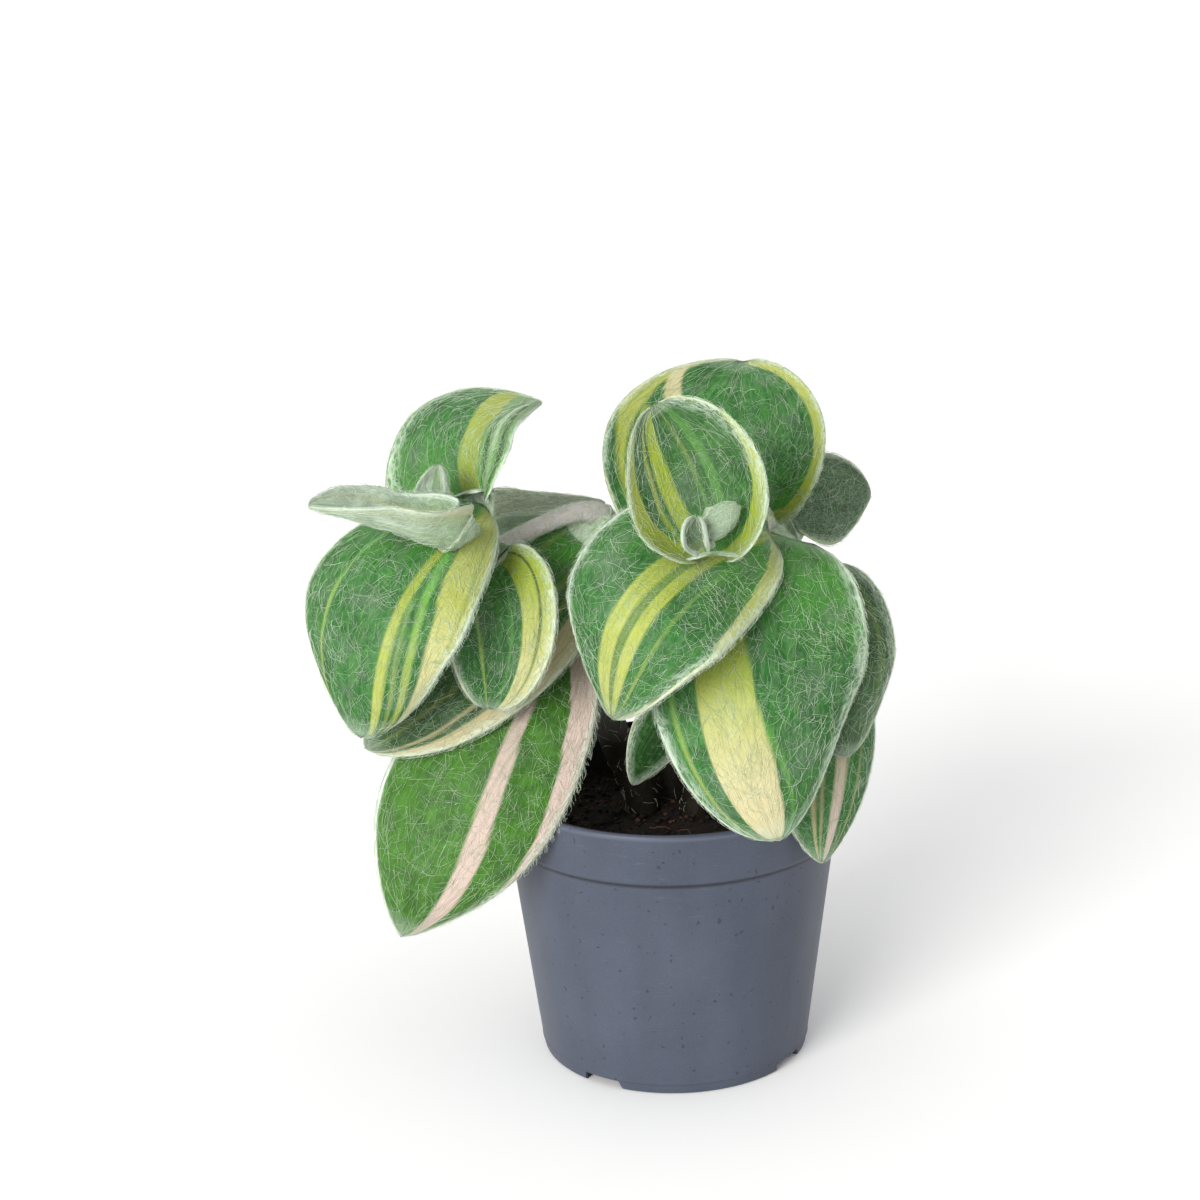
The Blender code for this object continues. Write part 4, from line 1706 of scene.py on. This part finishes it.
@dataclass(frozen=True)
class SoilBed:
    """The potting soil: an uneven bed, loose crumbs and a few fibres."""

    clearance: float = 0.25
    sunk: float = 0.5
    rough: float = 0.7
    lumps: int = 900
    fibres: int = 46
    fibre_girth: tuple[float, float] = (0.06, 0.13)
    finish: SoilFinish = SoilFinish()

    @property
    def crown(self) -> float:
        """The bed's height before its unevenness, in millimetres, from its CAD node."""
        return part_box("soil")[1].z / MM - self.sunk

    def top(self, x: np.ndarray, y: np.ndarray) -> np.ndarray:
        """Height of the bed's surface, in millimetres, at points of it."""
        wave = np.sin(0.55 * x + 1.3) * np.cos(0.48 * y + 0.4) + 0.6 * np.sin(1.2 * x - 0.9 * y)
        fine = np.sin(2.7 * x + 1.1 * y) * np.sin(2.3 * y - 1.7 * x + 2.0)
        return self.crown + self.rough * (0.4 * wave + 0.3 * fine)

    def reach(self, pot: Pot, gap: float) -> float:
        """Radius of the bed's surface less a gap from the wall, both in millimetres."""
        return pot.outside(self.crown) - pot.wall - gap

    def bed(self, pot: Pot) -> Piece:
        """Builds the bed.

        Args:
            pot: The pot that it fills.

        Returns:
            The piece.
        """
        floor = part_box("soil")[0].z / MM
        rings, sides = 34, 120
        wall = self.reach(pot, self.clearance)
        low_wall = pot.outside(floor) - pot.wall - self.clearance
        angle = np.linspace(0, math.tau, sides, endpoint=False)
        layers = []
        for radius, level in ((low_wall * 0.5, floor), (low_wall, floor)):
            layers.append(self._ring(radius, angle, np.full(sides, level)))
        for ring in range(rings):
            radius = wall * (1 - ring / rings)
            x, y = radius * np.cos(angle), radius * np.sin(angle)
            drop = 0.8 * (radius / wall) ** 6
            layers.append(self._ring(radius, angle, self.top(x, y) - drop))
        skin = Skin()
        add_loft(skin, np.stack(layers))
        return skin.make("soil_bed", self.finish.material("potting_soil"))

    @staticmethod
    def _ring(radius: float, angle: np.ndarray, levels: np.ndarray) -> np.ndarray:
        """A level or wavy circle of points."""
        return np.stack([radius * np.cos(angle), radius * np.sin(angle), levels], -1)

    @staticmethod
    def _spot(rng: np.random.Generator, reach: float) -> tuple[float, float]:
        """A place on the bed, no farther than reach from its middle."""
        radius, angle = reach * math.sqrt(rng.uniform()), rng.uniform(0, math.tau)
        return radius * math.cos(angle), radius * math.sin(angle)

    def grit(self, pot: Pot, kind: Grit) -> Piece:
        """Strews one kind of lump.

        Args:
            pot: The pot that they lie in.
            kind: The kind.

        Returns:
            The piece that holds them.
        """
        share, sizes, paleness = kind.value
        rng = seeded("grit_" + kind.name)
        reach = self.reach(pot, 1.2)
        skin = Skin()
        for _ in range(int(self.lumps * share)):
            size = rng.uniform(*sizes) * rng.uniform(0.6, 1.0)
            x, y = self._spot(rng, reach)
            z = float(self.top(np.array(x), np.array(y))) + size * rng.uniform(-0.1, 0.35)
            add_lump(skin, np.array((x, y, z)), size, rng)
        name = f"soil_{kind.name.lower()}s"
        return skin.make(name, self.finish.material(name, paleness))

    def litter(self, pot: Pot) -> Piece:
        """Strews short pale root fibres.

        Args:
            pot: The pot that they lie in.

        Returns:
            The piece that holds them.
        """
        rng = seeded("fibres")
        reach = self.reach(pot, 2.5)
        skin = Skin()
        for _ in range(self.fibres):
            x, y = self._spot(rng, reach)
            heading, bend = rng.uniform(0, math.tau), rng.normal(0, 0.5)
            steps = np.arange(9)
            way = heading + bend * steps / 4
            stride = rng.uniform(0.25, 0.6)
            x = x + np.cumsum(np.cos(way)) * stride
            y = y + np.cumsum(np.sin(way)) * stride
            z = self.top(x, y) + 0.55 + rng.uniform(0, 0.5) * np.sin(steps / 8 * math.pi)
            turn = np.linspace(0, math.tau, 5, endpoint=False)
            add_loft(skin, tube(np.stack([x, y, z], -1), rng.uniform(*self.fibre_girth), turn))
        return skin.make("soil_fibres", self.finish.material("root_fibre", 0.75))

    def build(self, pot: Pot) -> None:
        """Makes and settles the bed and all that lies on it.

        Args:
            pot: The pot that it fills.
        """
        settle(self.bed(pot), "potting_soil", "soil")
        for kind in Grit:
            settle(self.grit(pot, kind), "potting_soil")
        settle(self.litter(pot), "potting_soil")


def add_lump(skin: Skin, centre: np.ndarray, size: float, rng: np.random.Generator) -> None:
    """Adds an uneven closed lump.

    Args:
        skin: The mesh in the making.
        centre: Its middle, in millimetres.
        size: Its width, in millimetres.
        rng: The random numbers.
    """
    sides, levels = 7, 4
    turn = rng.uniform(0, math.tau)
    squash = rng.uniform(0.55, 0.9)
    angle = np.linspace(0, math.tau, sides, endpoint=False) + turn
    rings = []
    for level in range(levels):
        tilt = math.pi * (level + 0.6) / (levels + 0.2)
        radius = size / 2 * math.sin(tilt) * rng.uniform(0.75, 1.2, sides)
        height = -size / 2 * squash * math.cos(tilt) * rng.uniform(0.85, 1.1, sides)
        offset = np.stack([radius * np.cos(angle), radius * np.sin(angle), height], -1)
        rings.append(centre + offset)
    add_loft(skin, np.stack(rings))


# ------------------------------------------------------------------ studio
@dataclass(frozen=True)
class Studio:
    """The plain floor, soft light and camera; its lengths are in metres."""

    floor_side: float = 14.0
    sky: float = 0.8
    sun_power: float = 3.5
    sun_spread: float = 34.0
    sun_from: Point = (-0.5, -0.83, 0.33)
    lens: float = 74.6
    eye: Point = (0.0, -0.4109, 0.2006)
    yaw: float = -0.028
    pitch: float = 0.281
    roll: float = -0.027

    def floor(self) -> None:
        """Lays the pale floor."""
        bm = bmesh.new()
        bmesh.ops.create_grid(bm, x_segments=24, y_segments=24, size=self.floor_side / 2 / MM)
        board = Board("studio_floor", Specular_IOR_Level=0.1)
        tone = board.noise(board.place(), 30.0, 3.0)
        colour = board.blend(tone, (0.965, 0.965, 0.97), (0.98, 0.98, 0.98))
        material = board.finish(Base_Color=colour, Roughness=tone * 0.1 + 0.8)
        floor = link("studio_floor", written(bm, "studio_floor"), material)

    def sun(self) -> None:
        """Hangs the soft key light, in front and to the left."""
        data = bpy.data.lights.new("key_light", "SUN")
        data.energy, data.angle = self.sun_power, math.radians(self.sun_spread)
        data.color = (1.0, 0.985, 0.96)
        lamp = bpy.data.objects.new("key_light", data)
        lamp.rotation_euler = (-Vector(self.sun_from)).to_track_quat("-Z", "Y").to_euler()
        bpy.context.scene.collection.objects.link(lamp)

    def world(self) -> None:
        """Surrounds the scene with even white light."""
        world = bpy.data.worlds.new("studio_air")
        world.use_nodes = True
        background = world.node_tree.nodes["Background"]
        background.inputs["Color"].default_value = (1.0, 1.0, 1.0, 1.0)
        background.inputs["Strength"].default_value = self.sky
        bpy.context.scene.world = world

    def camera(self) -> None:
        """Sets the camera."""
        forward = Vector((
            math.sin(self.yaw) * math.cos(self.pitch),
            math.cos(self.yaw) * math.cos(self.pitch),
            -math.sin(self.pitch),
        ))
        level = Vector((math.cos(self.yaw), -math.sin(self.yaw), 0.0))
        upright = level.cross(forward)
        right = level * math.cos(self.roll) + upright * math.sin(self.roll)
        up = upright * math.cos(self.roll) - level * math.sin(self.roll)
        turn = Matrix((right, up, -forward)).transposed().to_4x4()
        data = bpy.data.cameras.new("studio_camera")
        data.lens, data.sensor_width = self.lens, 36.0
        camera = bpy.data.objects.new("studio_camera", data)
        camera.matrix_world = Matrix.Translation(self.eye) @ turn
        bpy.context.scene.collection.objects.link(camera)
        bpy.context.scene.camera = camera

    def build(self) -> None:
        """Sets up the whole studio."""
        self.floor()
        self.world()
        self.sun()
        self.camera()
        bpy.context.scene.view_settings.view_transform = "Standard"


# ------------------------------------------------------------------ shoots
@dataclass(frozen=True)
class Shoot:
    """One shoot: a stem, the blades along it and the sheaths that join them."""

    name: str
    stem: Stem
    blades: tuple[Blade, ...]
    finish: StemFinish = StemFinish()
    fur: Fur = Fur()

    def build(self, wool: bpy.types.Material) -> None:
        """Makes the stem with its sheaths, the blades and all their wool.

        Args:
            wool: The hairs' material.
        """
        hairs = Strands(self.name + "_shoot")
        lofts = [(self.name + "_shoot", self.stem.rings(), self.finish, (self.name + "_stem",))]
        for blade in self.blades:
            sleeve = replace(self.finish, flesh=blade.sheath, blush=blade.sheath, wool=WOOL)
            lofts.append((blade.name + "_sheath", Sheath(self.stem, blade).rings(), sleeve, ()))
        for name, rings, finish, nodes in lofts:
            skin = Skin()
            add_loft(skin, rings)
            settle(skin.make(name, finish.material(name)), "woolly_stem", *nodes)
            self.fur.lay(hairs, tube_ground(rings))
        settle(hairs.make(self.name + "_shoot_wool", wool), "woolly_stem")
        for blade in self.blades:
            blade.build(wool)


def leaf(
    name: str, points: tuple[Point, Point, Point], face: Point, width: float,
    finish: BladeFinish, wool: Wool = Wool(), sheath: Colour = MIST_GREEN, **curl: float,
) -> Blade:
    """A grown leaf that stands for its CAD node.

    Args:
        name: The node's name less "_leaf".
        points: Its foot, the middle of its midrib and its tip.
        face: The way that its upper side looks.
        width: Its width in millimetres.
        finish: Its colours.
        wool: Its wool.
        sheath: The colour of the sleeve at its foot.
        **curl: What else its BladeShape says.

    Returns:
        The leaf.
    """
    shape = BladeShape(*points, face, width, **curl)
    nodes = (name + "_leaf",)
    return Blade(name + "_blade", shape, finish, wool, "variegated_leaf", nodes, sheath)


def hidden(
    name: str, points: tuple[Point, Point, Point], face: Point, width: float, **curl: float
) -> Blade:
    """A leaf that the front doesn't show, with stripes of its own.

    Args:
        name: The node's name less "_leaf".
        points: Its foot, the middle of its midrib and its tip.
        face: The way that its upper side looks.
        width: Its width in millimetres.
        **curl: What else its BladeShape says.

    Returns:
        The leaf.
    """
    rng = seeded(name + "_stripes")
    stripes, place = [], -0.9
    while place < 0.8:
        place += rng.uniform(0.15, 0.55)
        band = rng.choice([0.03, 0.08, 0.2])
        lean = -0.2 * place
        stripes.append(Stripe((place, place + lean), (place + band, place + band + lean)))
        place += band
    return leaf(name, points, face, width, BladeFinish(tuple(stripes)), **curl)


# ------------------------------------------------------------------ the left shoot
WHITE_RIM = Rim(0.6, 0.5, 1.0, WOOL, WOOL)
FINE_RIM = Rim(0.5, 0.4)

LEFT_TOP = leaf(
    "left_top", ((-31, -12.3, 104), (-31.4, -10.6, 113.6), (-20, -6.2, 118)),
    (-0.8, -0.49, 0.33), 38.6, BladeFinish(
        stripes=(
            Stripe((0.30, -0.86), (1.1, 1.1), PALE_GREEN, MIST_GREEN, 0.7, 4, 0.12),
            Stripe((-0.17, -1.22), (0.30, -0.86), LIME, SOFT_LIME, 0.9, 4, 0.12),
            Stripe((0.42, -0.35), (0.52, -0.25), DUSK_GREEN, DUSK_GREEN, 0.8, 3, 0.15),
            Stripe((0.58, 0.0), (0.66, 0.15), MIST_GREEN, WOOL, 0.8, 3, 0.12),
            Stripe((0.74, 0.35), (0.84, 0.5), DUSK_GREEN, DUSK_GREEN, 0.8, 3, 0.1),
        ),
        low_rim=FINE_RIM, high_rim=WHITE_RIM, ripe=(0.3, 0.95), bloom=(5.0, 2.0),
    ), sheath=WOOL, cup=-0.47, fold=23.5, twist=12, belly=0.37, foot=0.54, point=1.43,
    clasp=1.0,
)
LEFT_SIDE = leaf(
    "left_side", ((-34.5, -28.8, 99.1), (-44.7, -32.8, 104.3), (-55.5, -36.5, 108.5)),
    (0.09, 0.06, 0.99), 20.7, BladeFinish(
        stripes=(
            Stripe((-0.9, -0.9), (-0.7, -0.7), SOFT_LIME, TAN, 0.4),
            Stripe((-0.45, -0.45), (-0.3, -0.3), OLIVE, OLIVE, 0.4),
            Stripe((0.2, 0.2), (0.3, 0.3), OLIVE, OLIVE, 0.4),
            Stripe((0.6, 0.6), (0.75, 0.75), SOFT_LIME, TAN, 0.4),
        ),
        low_rim=Rim(1.2, 0.6, 1.0, CREAM, WOOL), high_rim=WHITE_RIM, ground=WOOL,
        foot_ground=MIST_GREEN, haze=0.3,
    ), Wool(under=0.9), cup=0.24, fold=21, twist=8, belly=0.41, foot=0.75, point=1.15,
    hood=-0.5, clasp=1.9,
)
LEFT_FRONT = leaf(
    "left_front", ((-29.3, -16.2, 103), (-46.2, -31.5, 92.6), (-50.2, -30, 68)),
    (-0.32, -0.81, 0.5), 31.9, BladeFinish(
        stripes=(
            Stripe((-0.8, -1.4), (0.15, -0.83), SOFT_LIME, late=0.35, bow=-0.06),
            Stripe((-0.62, -0.93), (-0.57, -0.90), OLIVE, SOFT_LIME, 0.6, 0.35, -0.06),
            Stripe((-0.11, -0.77), (-0.03, -0.68), PALE_GREEN, SOFT_LIME, 0.85, 0.5),
            Stripe((-0.02, -0.60), (0.03, -0.55), PALE_GREEN, SOFT_LIME, 0.5, 0.5),
            Stripe((-0.25, -0.42), (-0.20, -0.30), tip=SOFT_LIME, late=0.5),
            Stripe((0.30, 0.60), (0.335, 0.64), PALE_GREEN, SOFT_LIME, 0.9),
        ),
        low_rim=WHITE_RIM, high_rim=FINE_RIM, ripe=(0.35, 0.95),
    ), sheath=SOFT_LIME, cup=-0.58, twist=5, belly=0.5, foot=0.15, point=0.8, hood=-0.74,
    clasp=0.0,
)
LEFT_INNER = leaf(
    "left_inner", ((-29, -14.5, 92), (-27, -24.8, 85.5), (-29.5, -24, 70.5)),
    (-0.11, -0.9, 0.42), 20, BladeFinish(
        stripes=(
            Stripe((0.40, 0.15), (0.46, 0.20), PALE_GREEN, SOFT_LIME, 0.8, 3),
            Stripe((-0.16, -0.30), (-0.10, -0.26), PALE_GREEN, PALE_GREEN, 0.4),
            Stripe((-1.1, -1.1), (-0.27, -0.50)),
            Stripe((-0.74, -0.74), (-0.69, -0.69), DUSK_GREEN, OLIVE, 0.9),
        ),
        high_rim=FINE_RIM, ripe=(0.25, 1.1),
    ), cup=0.4, twist=16, belly=0.39, foot=0.2, point=0.98,
)
# Painted shade: this leaf lies in the shade of left_inner, so its green is the dark dusk green and
# its cream margin is painted a darker tan.
LEFT_UNDER = leaf(
    "left_under", ((-13.5, -3.5, 94.5), (-31, -14.5, 79.5), (-51, -19.5, 62.5)),
    (-0.1, -0.75, 0.65), 27, BladeFinish(
        stripes=(
            Stripe((-0.31, -0.31), (-0.23, -0.23), OLIVE, OLIVE, 0.6),
            Stripe((-0.45, -0.72), (-0.38, -0.66), OLIVE, TAN, 0.8),
            Stripe((-1.05, -1.05), (-0.55, -0.80), TAN, TAN),
            Stripe((0.35, 0.30), (0.45, 0.36), OLIVE, OLIVE, 0.6),
        ),
        ground=DUSK_GREEN,
    ), cup=-0.5,
)
LEFT_HANGING = leaf(
    "left_hanging", ((-16, -4.5, 75.5), (-32.5, -22.5, 58.5), (-46, -24.5, 30.5)),
    (-0.15, -0.88, 0.45), 33, BladeFinish(
        stripes=(Stripe((0.05, -0.72), (0.16, -0.44), PINK_CREAM, PINK_CREAM, 0.95),),
        low_rim=Rim(6.5, 0.7, 0.9, PINK_CREAM, PINK_CREAM),
        high_rim=Rim(2.0, 1.3, 1.0, LILAC_WOOL, LILAC_WOOL),
        ground=MEADOW_GREEN, foot_ground=MEADOW_GREEN, haze=0.03, cloud=0.03,
    ), Wool(fringe=0.8), cup=-0.65, twist=16, belly=0.53, foot=0.2, point=1.45, hood=-0.25,
)
LEFT_BACK = leaf(
    "left_back", ((-10.5, 12, 95.7), (-29, 10.5, 91.5), (-38, 7.5, 95.5)),
    (-0.16, 0.0, 0.99), 25, BladeFinish(
        stripes=(
            Stripe((-0.10, -0.10), (0.12, 0.12), SHADE_GREEN, SHADE_GREEN, 0.9),
            Stripe((0.36, 0.36), (0.46, 0.46), MIST_GREEN, WOOL, 0.9),
            Stripe((0.46, 0.46), (1.1, 1.1), TAUPE, TAUPE, 0.7),
        ),
        low_rim=WHITE_RIM, ground=MIST_GREEN, foot_ground=MIST_GREEN, haze=0.4,
    ), Wool(under=0.9), cup=0.5, fold=15, twist=16, belly=0.39, clasp=-0.8,
)
LEFT_REAR = hidden(
    "left_rear", ((-14.5, 7, 81), (-24, 20, 78), (-32, 28, 62)), (-0.4, 0.5, 0.75), 26, cup=-0.4
)
LEFT_BUD = Blade(
    "left_rolled_leaf",
    BladeShape(
        (-36.2, -18.6, 103.6), (-36.4, -17.8, 106.8), (-36.7, -17.0, 110.2), (-0.5, -0.8, 0.3),
        9.5, cup=1.7, belly=0.35, foot=0.8, point=1.2, clasp=0.2, thickness=0.8,
    ),
    BladeFinish(
        stripes=(Stripe((-0.5, -0.2), (0.3, 0.1), DUSK_GREEN, PALE_GREEN, 0.8),),
        low_rim=WHITE_RIM, high_rim=WHITE_RIM, ground=WOOL, foot_ground=MIST_GREEN, haze=0.5,
    ),
    Wool(density=2.0, under=2.0), "young_leaf", ("left_bud",),
)

# ------------------------------------------------------------------ the right shoot
RIGHT_CROWN = leaf(
    "right_crown", ((7.5, -36, 99), (5, -34.5, 110), (-1.5, -29.5, 122)),
    (-0.04, -0.97, 0.23), 27.5, BladeFinish(
        stripes=(
            Stripe((-0.32, -0.56), (-0.16, -0.31), LIME, LIME),
            Stripe((-0.44, -0.68), (-0.39, -0.62), LIME, SOFT_LIME, 0.8),
            Stripe((0.03, 0.03), (0.05, 0.05), PALE_GREEN, SOFT_LIME, 0.5),
            Stripe((0.10, 0.20), (0.20, 0.36), PALE_GREEN, PALE_GREEN, 0.35),
        ),
        low_rim=Rim(7.0, 0.3, 1.0, LIME, SOFT_LIME),
        high_rim=Rim(7.5, 0.6, 0.85, LIME, SOFT_LIME), ground=LEAF_SHADE, frost=0.4,
        bloom=(1.5, 4.0),
    ), cup=1.15, twist=-15, belly=0.42, point=1.1,
)
RIGHT_BACK = leaf(
    "right_back", ((13, -3.5, 97.5), (10, -3.5, 107.5), (14, 11, 121)),
    (-0.23, -0.72, 0.65), 42.5, BladeFinish(
        stripes=(
            Stripe((-0.84, -1.54), (-0.785, -0.94), LIME, SOFT_LIME, late=4),
            Stripe((-0.66, -1.28), (-0.62, -1.24), LIME, SOFT_LIME, 0.7, 4),
            Stripe((-0.34, -1.40), (-0.055, -1.33), LIME, CREAM, late=4),
        ),
        low_rim=FINE_RIM, high_rim=Rim(3.4, 2.2, 3.0, LIME, SOFT_LIME), frost=0.25,
        bloom=(1.5, 1.5),
    ), cup=0.8, twist=6, belly=0.47, foot=0.35, point=1.45, hood=0.25,
)
RIGHT_ARCHING = leaf(
    "right_arching", ((17, -21.5, 98.5), (-2.5, -41.8, 94.5), (-9, -40, 74)),
    (0.0, -0.76, 0.64), 29, BladeFinish(
        stripes=(
            Stripe((-0.04, -0.04), (0.04, 0.04), OLIVE, OLIVE, 0.6),
            Stripe((0.045, 0.05), (0.15, 0.36), tip=SOFT_LIME),
            Stripe((-0.12, -0.24), (-0.04, -0.06), tip=SOFT_LIME, late=0.5),
            Stripe((-0.26, -0.44), (-0.24, -0.41), PALE_GREEN, SOFT_LIME, 0.7, 0.5),
        ),
        low_rim=Rim(3.8, 0.9, 0.8, SOFT_LIME, CREAM), high_rim=WHITE_RIM, frost=0.9,
        bloom=(3.0, 2.0),
    ), sheath=SOFT_LIME, cup=-0.4, twist=-40, belly=0.46, foot=0.15, point=1.3,
)
RIGHT_HANGING = leaf(
    "right_hanging", ((20.5, -18, 97), (14.8, -36, 80.5), (17.5, -36.5, 51.5)),
    (0.12, -0.91, 0.4), 38.5, BladeFinish(
        stripes=(
            Stripe((0.86, -0.48), (0.94, -0.40), PALE_GREEN, PALE_GREEN, 0.5),
            Stripe((0.40, -0.20), (0.57, 0.55)),
            Stripe((0.74, 0.76), (0.79, 0.80), PALE_GREEN, SOFT_LIME, 0.7),
        ),
        low_rim=WHITE_RIM, high_rim=WHITE_RIM, ripe=(0.52, 0.86), frost=0.9, bloom=(4.0, 3.0),
    ), cup=-0.8, twist=20, belly=0.46, foot=0.2, point=1.15, hood=0.3,
)
RIGHT_SIDE = leaf(
    "right_side", ((20.5, -4.5, 97), (28, 2.5, 99), (35.5, 6.5, 98)), (0.57, -0.72, 0.4), 16.5,
    BladeFinish(ground=DUSK_GREEN, foot_ground=DUSK_GREEN, haze=0.25), cup=-0.35,
)
RIGHT_OUTER = leaf(
    "right_outer", ((24.5, -11, 90.5), (28, -23.5, 79.5), (29, -24, 61)), (0.22, -0.88, 0.41),
    26, BladeFinish(
        stripes=(Stripe((-0.60, -0.60), (-0.54, -0.54), OLIVE, OLIVE, 0.3),),
        ground=DUSK_GREEN, foot_ground=DUSK_GREEN, bloom=(4.0, 2.0),
    ), cup=-0.95, twist=8, point=1.15,
)
RIGHT_LOW = leaf(
    "right_low", ((27.5, -2, 79), (27.5, -20, 65.5), (25, -23, 42)), (0.45, -0.82, 0.34), 24.5,
    BladeFinish(
        stripes=(
            Stripe((0.30, 0.28), (0.42, 0.36), SOFT_LIME, TAN, 0.8),
            Stripe((0.14, 0.14), (0.20, 0.20), OLIVE, TAN, 0.6),
            Stripe((-0.20, -0.22), (-0.02, 0.0), SOFT_LIME, PINK_CREAM, 0.9),
            Stripe((-0.50, -0.50), (-0.46, -0.45), OLIVE, TAN, 0.6),
        ),
    ), cup=-0.9, twist=-16, point=1.3,
)
# Painted shade: this small leaf sits in shade low down, so its green is the dark shade green and
# its haze, frost and wool are thinned.
RIGHT_SMALL = leaf(
    "right_small", ((14, -3, 66), (2, -14, 66), (-6.5, -14, 53)), (0, -0.97, 0.24), 12,
    BladeFinish(ground=SHADE_GREEN, foot_ground=SHADE_GREEN, haze=0.0, cloud=0.0, frost=0.05),
    Wool(density=0.06, under=0.03, rim=0.5), cup=-0.5,
)
RIGHT_REAR = hidden(
    "right_rear", ((23, 5, 76), (28, 19, 75), (33, 27, 60)), (0.4, 0.5, 0.75), 24, cup=-0.4
)
RIGHT_BUD = Blade(
    "right_rolled_leaf",
    BladeShape(
        (5.6, -42.2, 102.4), (4.6, -43.4, 104.6), (4.8, -42.8, 107.2), (-0.15, -0.97, 0.2),
        7.0, cup=1.9, belly=0.5, foot=0.6, point=1.0, clasp=0.3, thickness=0.8,
    ),
    BladeFinish(
        low_rim=Rim(1.0, 1.0, 9.0, WOOL, WOOL), high_rim=Rim(1.0, 1.0, 9.0, WOOL, WOOL),
        ground=DUSK_GREEN, foot_ground=OLIVE, haze=0.4,
    ),
    Wool(density=1.6, under=1.6), "young_leaf", ("right_bud",),
)
RIGHT_LOBE = Blade(
    "right_young_lobe",
    BladeShape(
        (6.0, -42.0, 103.6), (8.4, -42.3, 106.2), (11.0, -41.0, 108.6), (0.1, -0.97, 0.2),
        5.6, cup=-1.3, belly=0.55, foot=0.6, point=1.0, clasp=0.2, thickness=0.8,
    ),
    BladeFinish(ground=MIST_GREEN, foot_ground=MIST_GREEN, haze=0.9),
    Wool(density=2.2, under=1.0), "young_leaf",
)

# ------------------------------------------------------------------ the back shoot
BACK_LEFT = hidden(
    "back_left", ((-1, 29.5, 70), (-13, 38, 72), (-26, 40, 62)), (-0.2, 0.5, 0.85), 24
)
BACK_RIGHT = hidden(
    "back_right", ((5.5, 28.5, 73.5), (17, 37, 75), (30, 38, 65)), (0.2, 0.5, 0.85), 24
)
BACK_HANGING = hidden(
    "back_hanging", ((2.5, 33, 68), (3, 46, 60), (4, 50, 37)), (0, 0.9, 0.4), 28, cup=-0.6
)
BACK_TOP = hidden(
    "back_top", ((2, 31.5, 75), (-1, 36, 81), (-4, 40, 85)), (0, -0.8, 0.6), 16, cup=0.8
)
BACK_LOW_LEFT = hidden(
    "back_low_left", ((-3.5, 21, 63), (-17, 25, 60), (-30, 22, 47)), (-0.6, 0.3, 0.7), 22
)
BACK_LOW_RIGHT = hidden(
    "back_low_right", ((6.5, 18, 60), (17.5, 24, 60), (30, 22, 46)), (0.6, 0.3, 0.7), 22
)
BACK_BUD = Blade(
    "back_rolled_leaf",
    BladeShape(
        (2, 28.5, 74), (2, 28.7, 77.5), (2, 29, 81), (0, 0.9, 0.3), 7.0, cup=2.0, belly=0.5,
        foot=0.5, clasp=0.2, thickness=0.8,
    ),
    BladeFinish(haze=0.7), Wool(density=2.2, under=2.2), "young_leaf", ("back_bud",),
)

SHOOTS = (
    Shoot(
        "left",
        Stem("left", (
            (-5, 1, 34, 3), (-5, 1, 45, 3), (-9.6, 0.5, 57, 2.8), (-12.5, 1, 70, 2.6),
            (-12, 2.5, 84, 2.4), (-9.8, -0.5, 95.5, 2.0), (-14, -3, 98.4, 1.7),
            (-20.5, -5, 97, 1.5), (-26, -7.5, 94.8, 1.5), (-29.5, -10, 94, 1.5),
            (-31, -13, 98, 1.6),
        )),
        (LEFT_TOP, LEFT_SIDE, LEFT_FRONT, LEFT_INNER, LEFT_UNDER, LEFT_HANGING, LEFT_BACK,
         LEFT_REAR, LEFT_BUD),
    ),
    Shoot(
        "right",
        Stem("right", (
            (5, 0, 34, 3), (5, 0, 45, 3), (13, 3, 58, 2.8), (21, 1, 74, 2.6),
            (21.5, -4, 88, 2.4), (17.5, -9.5, 94.5, 2.2), (14.5, -14.5, 101.5, 2.0),
            (11, -20.5, 109.5, 1.8), (8.5, -30, 109.5, 1.5),
        )),
        (RIGHT_CROWN, RIGHT_BACK, RIGHT_ARCHING, RIGHT_HANGING, RIGHT_SIDE, RIGHT_OUTER,
         RIGHT_LOW, RIGHT_SMALL, RIGHT_REAR, RIGHT_BUD, RIGHT_LOBE),
    ),
    Shoot(
        "back",
        Stem("back", (
            (0, 9, 34, 2.8), (0, 9, 45, 2.8), (1, 16, 57, 2.5), (2, 23, 66, 2.3),
            (2, 28, 71, 2.0),
        )),
        (BACK_LEFT, BACK_RIGHT, BACK_HANGING, BACK_TOP, BACK_LOW_LEFT, BACK_LOW_RIGHT, BACK_BUD),
    ),
)


def main() -> None:
    """Builds the pot, the soil, the shoots and the studio, in that order."""
    logging.basicConfig(level=logging.INFO, format="%(name)s %(message)s")
    pot = Pot()
    pot.build()
    SoilBed().build(pot)
    wool = StrandFinish().material("leaf_wool")
    for shoot in SHOOTS:
        shoot.build(wool)
    Studio().build()


if __name__ == "__main__":
    main()
